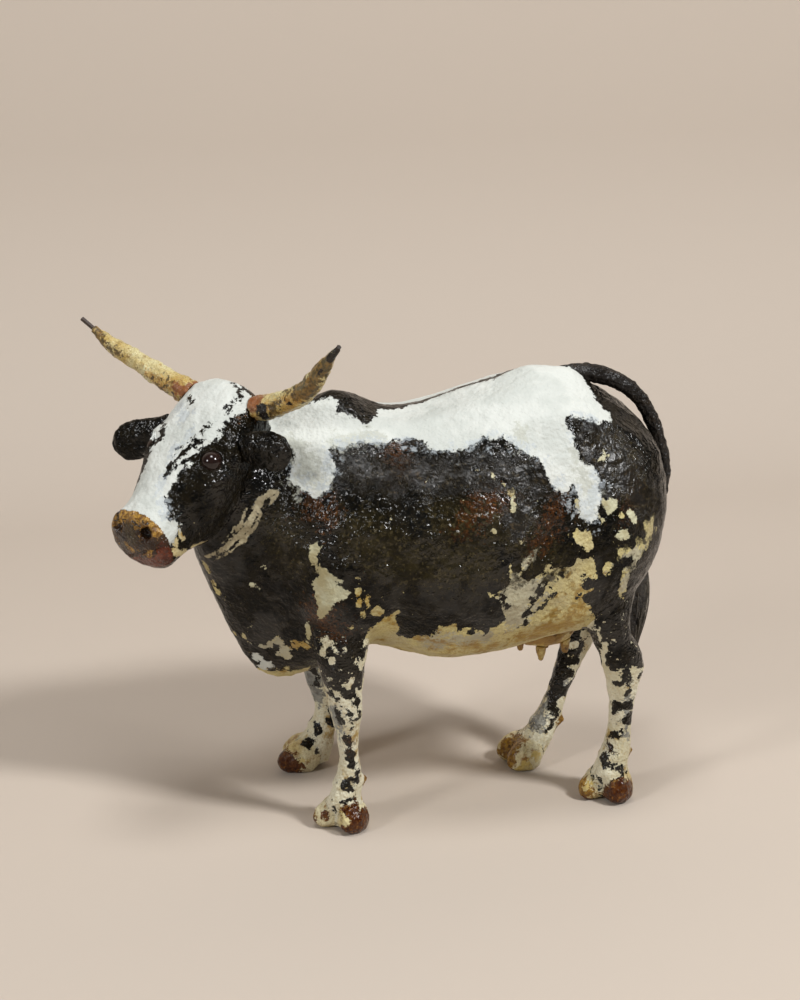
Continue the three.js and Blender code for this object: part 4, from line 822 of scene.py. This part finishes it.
# the same paint where hands hold the figure, on the legs: more cream, less varnish
legMaterial = layeredPaint("worn oil paint on paper", {
    "ground": ("#dad6bf", "#c9c2a4", "#ae965f"), "rough": 0.45, "roughSpread": 0.6,
    "layers": [smokeLayer] + changed(coatLayers, "dark", ragged=0.95, flakes=(0.64, 0.003)) + feetLayers,
    "specular": (0.14, 0.42), "relief": ((3.0, 0.55), (1.5, 0.3))})
# hooves: thick red-brown varnish that runs over cream and gold
clawMaterial = layeredPaint("red-brown varnish", {
    "ground": ("#d4cca8", "#c4b27c", "#86602c"), "rough": 0.35, "roughSpread": 0.5, "specular": (0.25, 0.4),
    "layers": changed(only(coatLayers, "dark"), "dark", ragged=0.5) + feetLayers, "relief": ((3.0, 0.5), (1.4, 0.25))})
# the head's paint: the same black, and a chalkier white with more flakes gone
facePaint = layeredPaint("chalky oil paint on paper", {
    "ground": ("#cfc193", "#b8ad8c", "#a98a4d"), "rough": 0.5, "roughSpread": 0.5,
    "layers": changed(coatLayers, "white", ragged=1.2, flakes=(0.6, 0.03)),
    "specular": (0.14, 0.4), "relief": ((3.0, 0.5), (1.4, 0.25))})
# thick varnish over ochre and brown on the muzzle: wet-looking and lumpy
muzzleMaterial = layeredPaint("varnished brown paint", {
    "ground": ("#3a2410", "#26150b", "#120c08"), "rough": 0.2, "roughSpread": 0.5, "specular": (0.35, 0.6),
    "layers": [
        coatOf("gold", ("#b0873a", "#6b4818"), 2.4, 0.7, 0.24, mottle=2.2, thick=0.2),
        coatOf("grey", ("#4c4029", "#352b1c"), 1.2, 1.4, 0.25, mottle=2.2, strength=0.8),
        coatOf("red", ("#6e3119", "#4a1d0e"), 1.6, 1.2, 0.22, mottle=7, strength=0.9),
        coatOf("nostril", ("#120d0a", "#17110d"), 0.8, 0.5, 0.3)],
    "relief": ((2.8, 0.8), (1.3, 0.4))})

print("building the paper skin of the body")
bodyShells = ["body_shell_left", "body_shell_right"]
legNames = ["fore_leg_left", "fore_leg_right", "hind_leg_left", "hind_leg_right"]
skinNodes = bodyShells + legNames + ["head_shell", "muzzle", "eye_left", "eye_right"]
skin = skinOver(skinNodes, "skin", coat["voxel"], coat["rounds"])
points = pointsOf(skin.data)
upward, backward = (np.clip((points[:, axis] - start) / coat["calmSpan"], 0, 1)
                    for axis, start in ((2, coat["calmFrom"][1]), (0, coat["calmFrom"][0])))
softened(skin, upward * backward, coat["calmRounds"])
pushedOut(skin.data, reliefAt(pointsOf(skin.data)))
body = pieceOf(skin, ownersOf(skin.data, skinNodes) < len(bodyShells), "body_coat")
heldInBox(body.data)
paintBody(body.data)
handedOver(body, coatPaint, bodyShells)
bpy.data.objects.remove(skin)

print("building the finer skin of head and legs")
clawNames = sorted(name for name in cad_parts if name.startswith("claw_"))
dewclawNames = sorted(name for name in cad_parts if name.startswith("dewclaw_"))
fineNodes = skinNodes + clawNames + dewclawNames
fineSkin = skinOver(fineNodes, "fine_skin", coat["fineVoxel"], coat["fineRounds"])
pushedOut(fineSkin.data, swellOf(pointsOf(fineSkin.data), coat["footSwells"]))
creasesFilled(fineSkin, coat["creaseReach"], coat["fineVoxel"],
              lambda places: np.clip((coat["feetBelow"] - places[:, 2]) / coat["feetSpan"], 0, 1))
points = pointsOf(fineSkin.data)
kept = (points[:, 2] < coat["legsBelow"]) | (points[:, 0] < coat["headBefore"])
relief = np.zeros(len(points))
relief[kept] = reliefAt(points[kept])
pushedOut(fineSkin.data, relief)
owners = ownersOf(fineSkin.data, fineNodes)
for index, nodeName in enumerate(fineNodes):
    if nodeName.startswith(("body_shell", "eye_")):
        continue
    piece = pieceOf(fineSkin, owners == index, nodeName + "_paper")
    heldInBox(piece.data)
    if nodeName == "head_shell":
        paintFace(piece.data)
        handedOver(piece, facePaint, [nodeName])
    elif nodeName == "muzzle":
        paintMuzzle(piece.data)
        handedOver(piece, muzzleMaterial, [nodeName])
    elif nodeName in legNames:
        paintBody(piece.data)
        handedOver(piece, legMaterial, [nodeName])
    else:
        paintBody(piece.data)
        handedOver(piece, clawMaterial, [nodeName])
bpy.data.objects.remove(fineSkin)


# One node's own skin: remeshed fine, lumpy, with its paint fields.
def paperOver(nodeName, look, recipes, turn=0, otherFields=()):
    piece = skinOver([nodeName], nodeName + "_paper", look["voxel"], look["rounds"])
    points = pointsOf(piece.data)
    seed = look["noiseSeed"] + turn
    pushedOut(piece.data, sum(lumps(points, size, seed + size) * amount for size, amount in look["lumps"])
              + look["swell"])
    heldInBox(piece.data)
    points = pointsOf(piece.data)
    for name, recipe in recipes.items():
        addField(piece.data, name, fieldOf(points, points[:, :2], 1.0, recipe))
    for name in otherFields:
        if name not in recipes:
            addField(piece.data, name, np.full(len(points), nowhere))
    return piece


print("modelling horns, ears, hooves and tail")
hornLook = {"voxel": 0.6, "rounds": 4, "swell": 0.5, "lumps": ((6.0, 0.8), (3.0, 0.5), (1.5, 0.25)), "noiseSeed": 0,
            "taper": 1.3}
# where the taper starts, where it ends, and how much it takes off there
hornTips = {"horn_left": ((-47, -58, 266), (-35.4, -70.5, 282), 0.55),
            "horn_right": ((-146, 44, 259), (-156.5, 56, 268), 0.35)}
hornRecipes = {
    "horn_left": {
        "amber": {"strokes": [(4.0, [(-72, -30, 240), (-58, -45, 247), (-48, -58, 257)])]},
        "rust": {"strokes": [(5.5, [(-80, -22, 242), (-76, -27, 241), (-73, -25, 243)])]},
        "black": {"strokes": [(3.4, [(-72, -32, 240), (-70, -31, 236)]), (3.6, [(-40, -67, 276), (-35, -70, 283)]),
                              (1.2, [(-60, -44, 245)]), (1.6, [(-50, -58, 258), (-45, -63, 267)]),
                              (1.0, [(-54, -52, 262)])]},
        "brown": {"strokes": [(3.0, [(-66, -37, 242), (-65, -34, 236)]), (6.0, [(-55, -50, 253), (-42, -66, 272)]),
                              (1.5, [(-60, -40, 248)])]},
    },
    "horn_right": {
        "amber": {"strokes": [(4.5, [(-106, 4, 240), (-118, 14, 243), (-128, 22, 245)])]},
        "rust": {"strokes": [(4.5, [(-103, 5, 243), (-110, 5, 241), (-112, 8, 242)])]},
        "black": {"strokes": [(1.4, [(-116, 10, 238)]), (1.0, [(-128, 22, 241)]), (1.0, [(-138, 32, 247)]),
                              (0.9, [(-146, 40, 253)]), (1.8, [(-155, 54, 267)])]},
        "brown": {"strokes": [(2.6, [(-122, 16, 239), (-132, 26, 242)]), (3.0, [(-146, 44, 257), (-154, 52, 265)]),
                              (2.0, [(-112, 6, 248), (-118, 11, 248)]), (1.6, [(-140, 34, 252), (-146, 38, 256)]),
                              (1.4, [(-112, 6, 238), (-106, 2, 237)]), (1.2, [(-134, 27, 245)])]},
    },
}
# horn: cream oil paint rubbed with umber glaze, rust-red at the root, burnt dark at the tip
hornMaterial = layeredPaint("glazed cream paint", {
    "ground": ("#d2ca9c", "#b99f5a", "#7d5a22"), "rough": 0.34, "roughSpread": 0.6,
    "layers": [
        coatOf("amber", ("#9c6f2c", "#c3a25a"), 2.4, 1.6, 0.3, mottle=2.2, strength=0.85),
        coatOf("brown", ("#7a5c28", "#2b200d"), 2.4, 0.7, 0.36, mottle=2.2, strength=0.85),
        coatOf("rust", ("#8a4a20", "#6b3212"), 1.4, 1.2, 0.4, strength=0.9),
        coatOf("black", ("#1b1611", "#241b13"), 0.7, 0.25, 0.35, thick=0.15)],
    "relief": ((2.6, 0.4), (1.0, 0.22))})
for turn, nodeName in enumerate(("horn_left", "horn_right")):
    horn = paperOver(nodeName, hornLook, hornRecipes[nodeName], turn)
    points = pointsOf(horn.data)
    foot, tip = (np.array(spot, float) for spot in hornTips[nodeName][:2])
    share = np.clip((points - foot) @ (tip - foot) / ((tip - foot) @ (tip - foot)), 0, 1)
    axis = foot + share[:, None] * (tip - foot)
    thinner = hornTips[nodeName][2] * share ** hornLook["taper"]
    placePoints(horn.data, points + (axis - points) * thinner[:, None])
    handedOver(horn, hornMaterial, [nodeName])

earLook = {"voxel": 0.6, "rounds": 5, "swell": -0.1, "lumps": ((5.0, 0.4), (2.5, 0.25)), "noiseSeed": 3}
# one dark stroke, wide enough for the whole ear
earRecipes = {"ear_left": {"dark": {"strokes": [(60, [(-74, -47, 220)])]}},
              "ear_right": {"dark": {"strokes": [(60, [(-135, 10, 215)])]}}}
for turn, nodeName in enumerate(("ear_left", "ear_right")):
    ear = paperOver(nodeName, earLook, earRecipes[nodeName], turn, [layer["field"] for layer in bodyLayers])
    handedOver(ear, coatPaint, [nodeName])

udderLook = {"voxel": 0.7, "rounds": 5, "swell": -0.1, "lumps": ((6.0, 0.4), (2.6, 0.25)), "noiseSeed": 30}
udderRecipes = {"cream": {"strokes": [(4.0, [(85, -13, 92), (86, -10, 82)]), (3.5, [(98, -14, 96), (100, -12, 90)]),
                                    (3.5, [(70, -8, 88), (72, -10, 84)])]},
                "ring": {"strokes": [(2.6, [(86, -10, 76)]), (2.2, [(72, -10, 80)]), (2.2, [(100, -12, 84)])]}}
# udder: ochre glaze over cream, brown at the teat ends
udderMaterial = layeredPaint("ochre glaze on paper", {
    "ground": ("#8f6a2e", "#a5823f", "#5f4320"), "rough": 0.42, "roughSpread": 0.4,
    "layers": [
        coatOf("cream", ("#d0bf7e", "#b2924a"), 1.6, 0.8, 0.4, mottle=2.2),
        coatOf("ring", ("#4d331a", "#4d331a"), 0.6, 0.5, 0.4)],
    "relief": ((2.8, 0.4), (1.2, 0.22))})
for turn, nodeName in enumerate(("udder", "teat_front_left", "teat_front_right", "teat_rear_left",
                                 "teat_rear_right")):
    piece = paperOver(nodeName, udderLook, udderRecipes, turn)
    handedOver(piece, udderMaterial, [nodeName])

tailLook = {"voxel": 0.7, "rounds": 3, "swell": -0.1, "lumps": ((6.0, 0.5), (2.5, 0.4), (1.4, 0.2)), "noiseSeed": 41}
# tail: wound paper string under flat black paint, rough and barely glossy
tailMaterial = layeredPaint("black paint on wound string", {
    "ground": ("#100d0b", "#17130f", "#241d15"), "rough": 0.36, "roughSpread": 0.6,
    "layers": only(coatLayers, "white"),
    "specular": (0.25, 0.4), "relief": ((2.6, 0.6), (1.2, 0.3))})
tail = paperOver("tail", tailLook, {"white": {"strokes": [(6.0, [(86, -4, 246), (98, -7, 246)])]}})
handedOver(tail, tailMaterial, ["tail"])

print("setting the glass eyes")
eyeLook = {"radius": 5.6, "squash": 0.92, "rings": 48, "cloud": 3.0, "rough": 0.12,
           "sunk": {"eye_left": (0, 0, 0), "eye_right": (1.6, -1.9, 0)}}
# moulded glass beads: brown so dark that only the glints show
beadGlass = bpy.data.materials.new("dark brown glass")
beadGlass.use_nodes = True
tree = beadGlass.node_tree
place = addNode(tree, "ShaderNodeTexCoord").outputs["Object"]
cloud = addNode(tree, "ShaderNodeTexNoise", {
    "Vector": place, "Scale": 1 / (eyeLook["cloud"] * millimetre), "Detail": 2.0})
colour = addNode(tree, "ShaderNodeMix", {0: cloud.outputs["Fac"], 6: linearFromHex("#100a08"),
                                         7: linearFromHex("#2a1812")}, data_type="RGBA").outputs[2]
tree.links.new(colour, tree.nodes["Principled BSDF"].inputs["Base Color"])
tree.nodes["Principled BSDF"].inputs["Roughness"].default_value = eyeLook["rough"]
for nodeName in ("eye_left", "eye_right"):
    low, high = (Vector(corner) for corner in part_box(nodeName))
    form = bmesh.new()
    bmesh.ops.create_uvsphere(form, u_segments=eyeLook["rings"], v_segments=eyeLook["rings"] // 2,
                              radius=eyeLook["radius"] * millimetre)
    bmesh.ops.scale(form, vec=(1, 1, eyeLook["squash"]), verts=form.verts)
    bmesh.ops.translate(form, vec=(low + high) / 2 + Vector(eyeLook["sunk"][nodeName]) * millimetre, verts=form.verts)
    bead = linked(nodeName + "_bead", meshFrom(form, nodeName + "_bead"))
    handedOver(bead, beadGlass, [nodeName])

print("fraying the switch")
switchLook = {"voxel": 0.8, "rounds": 2, "swell": -0.1, "lumps": ((7.0, 1.6), (3.0, 0.9), (1.6, 0.4)), "noiseSeed": 50,
              "strands": 150, "points": 7, "thick": 0.34, "seed": 4, "starts": 0.7, "lengths": (0.2, 0.4),
              "spread": (0.6, 1.0), "sway": 0.9, "narrow": 0.25, "widest": 1.15, "pointed": 0.6}
low, high = boxOf("tail_switch")
core = paperOver("tail_switch", switchLook, {})
# sisal fibre dyed black, greyed where it frays
fibre = layeredPaint("dyed sisal fibre", {
    "ground": ("#1d1916", "#34302b", "#57524b"), "rough": 0.75, "roughSpread": 0.3, "layers": [],
    "relief": ((1.2, 0.4),)})
handedOver(core, fibre, ["tail_switch"])
dice = random.Random(switchLook["seed"])
hair = bpy.data.curves.new("switch_strands", "CURVE")
hair.dimensions = "3D"
hair.bevel_depth = switchLook["thick"] * millimetre
hair.bevel_resolution = 1
lastPoint = switchLook["points"] - 1
middle, half = (low + high) / 2, (high - low) / 2
for strand in range(switchLook["strands"]):
    turn = dice.uniform(0, 2 * math.pi)
    start = dice.uniform(0.0, switchLook["starts"])
    length = dice.uniform(*switchLook["lengths"])
    spread = dice.uniform(*switchLook["spread"])
    sway = dice.uniform(-switchLook["sway"], switchLook["sway"])
    spline = hair.splines.new("POLY")
    spline.points.add(lastPoint)
    for index, point in enumerate(spline.points):
        share = min(start + length * index / lastPoint, 1.0)
        belly = math.sin(math.pi * min(share * switchLook["widest"], 1.0))
        width = spread * (switchLook["narrow"] + (1 - switchLook["narrow"]) * belly)
        x = middle[0] + half[0] * width * math.cos(turn + sway * share)
        y = middle[1] + half[1] * width * math.sin(turn + sway * share)
        z = high[2] + (low[2] - high[2]) * share
        point.co = (x * millimetre, y * millimetre, z * millimetre, 1)
        point.radius = 1.0 - switchLook["pointed"] * index / lastPoint
strands = linked("switch_strands", hair)
# the loose ends: the same fibre, dry and greyer
hair.materials.append(layeredPaint("frayed sisal ends", {
    "ground": ("#3b3630", "#5f594f", "#7c766b"), "rough": 0.8, "roughSpread": 0.2, "layers": [],
    "relief": ((1.2, 0.2),)}))
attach(strands, "root")

print("finishing what lies inside")
wireNodes = ["horn_wire", "spine_wire", "fore_leg_wire", "hind_leg_wire"]
# annealed iron wire with a brown-black scale
ironWire = layeredPaint("annealed iron wire", {
    "ground": ("#221c18", "#35271d", "#4a3020"), "rough": 0.5, "roughSpread": 0.4, "layers": [],
    "relief": ((1.0, 0.1),)})
# grey newsprint in soft creases, dull all over
newsprint = layeredPaint("crumpled newsprint", {
    "ground": ("#b3afa3", "#a39e90", "#8f897b"), "rough": 0.85, "roughSpread": 0.1, "layers": [],
    "relief": ((8.0, 0.9), (3.0, 0.4))})
# tan kraft paper, flat, with the faint sheen of its gum
gummedPaper = layeredPaint("gummed kraft paper", {
    "ground": ("#a88356", "#9a7548", "#866238"), "rough": 0.7, "roughSpread": 0.2, "layers": [],
    "relief": ((4.0, 0.2),)})
# buff cloth tape, matte and finely rough
clothTape = layeredPaint("glued cloth tape", {
    "ground": ("#b29a63", "#a58c55", "#8d7442"), "rough": 0.8, "roughSpread": 0.1, "layers": [],
    "relief": ((1.4, 0.2),)})
for material, nodeNames in ((ironWire, wireNodes), (newsprint, ["chest_wad", "rump_wad", "head_wad"]),
                            (gummedPaper, ["seam_strip"]),
                            (clothTape, ["poll_binding", "shoulder_binding", "hip_binding"])):
    for nodeName in nodeNames:
        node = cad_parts[nodeName]
        if not node.material_slots:
            print("no slot on", nodeName)
        for slot in node.material_slots:
            slot.material = material

print("lighting a plain studio")
# the room in metres
room = {"floorColour": "#c4b8ab", "roughness": 0.9, "behind": 0.75, "reach": 7.0, "high": 3.0, "curve": 0.25,
        "steps": 10, "worldColour": "#e6e6e8", "worldLight": 0.15}
# the photo's camera in millimetres: lens, sensor, the spot it looks at, the way back from there and how far
photoView = {"lens": 85, "sensor": 36, "aim": (6.98, 0.87, 175.0), "back": (-0.165, -0.937, 0.309), "far": 1298.6}
camera = bpy.data.cameras.new("camera")
camera.sensor_fit = "VERTICAL"
camera.sensor_height = photoView["sensor"]
camera.lens = photoView["lens"]
cameraObject = linked("camera", camera)
back = Vector(photoView["back"]).normalized()
cameraObject.location = (Vector(photoView["aim"]) + back * photoView["far"]) * millimetre
cameraObject.rotation_euler = back.to_track_quat("Z", "Y").to_euler()
bpy.context.scene.camera = cameraObject

form = bmesh.new()
profile = [form.verts.new((0, -room["reach"], 0))]
for step in range(room["steps"] + 1):
    angle = math.pi / 2 * step / room["steps"]
    profile.append(form.verts.new((0, room["behind"] + room["curve"] * (math.sin(angle) - 1),
                                   room["curve"] * (1 - math.cos(angle)))))
profile.append(form.verts.new((0, room["behind"], room["high"])))
edges = [form.edges.new(pair) for pair in zip(profile, profile[1:])]
bmesh.ops.translate(form, vec=(-room["reach"], 0, 0), verts=form.verts)
drawn = bmesh.ops.extrude_edge_only(form, edges=edges)
bmesh.ops.translate(form, vec=(2 * room["reach"], 0, 0),
                    verts=[item for item in drawn["geom"] if isinstance(item, bmesh.types.BMVert)])
form.normal_update()
if max(form.faces, key=lambda bmFace: abs(bmFace.normal.z)).normal.z < 0:
    bmesh.ops.reverse_faces(form, faces=list(form.faces))
floor = linked("floor", meshFrom(form, "floor"))
# a matte paper roll, clear from its back, so that it doesn't hide the cow in views from behind
paperRoll = bpy.data.materials.new("pale paper roll")
paperRoll.use_nodes = True
tree = paperRoll.node_tree
shader = tree.nodes["Principled BSDF"]
shader.inputs["Base Color"].default_value = linearFromHex(room["floorColour"])
shader.inputs["Roughness"].default_value = room["roughness"]
fromBack = addNode(tree, "ShaderNodeNewGeometry").outputs["Backfacing"]
clear = addNode(tree, "ShaderNodeBsdfTransparent").outputs[0]
surface = addNode(tree, "ShaderNodeMixShader", {0: fromBack, 1: shader.outputs[0], 2: clear}).outputs[0]
tree.links.new(surface, tree.nodes["Material Output"].inputs["Surface"])
floor.data.materials.append(paperRoll)

# each lamp's place and side in metres, and its watts; all face the middle of the cow
lamps = {"key": ((1.2, -1.1, 1.7), 0.3, 38.0), "fill": ((-1.7, -1.1, 1.1), 0.4, 15.0),
         "top": ((-0.1, -0.3, 2.0), 0.5, 13.0)}
lit = Vector((0, 0, 0.12))
for name, (place, size, power) in lamps.items():
    lamp = bpy.data.lights.new(name, "AREA")
    lamp.size = size
    lamp.energy = power
    lampObject = linked(name, lamp)
    lampObject.location = place
    lampObject.rotation_euler = (Vector(place) - lit).to_track_quat("Z", "Y").to_euler()
world = bpy.data.worlds.new("studio")
world.use_nodes = True
world.node_tree.nodes["Background"].inputs["Color"].default_value = linearFromHex(room["worldColour"])
world.node_tree.nodes["Background"].inputs["Strength"].default_value = room["worldLight"]
bpy.context.scene.world = world
bpy.context.scene.view_settings.view_transform = "Standard"
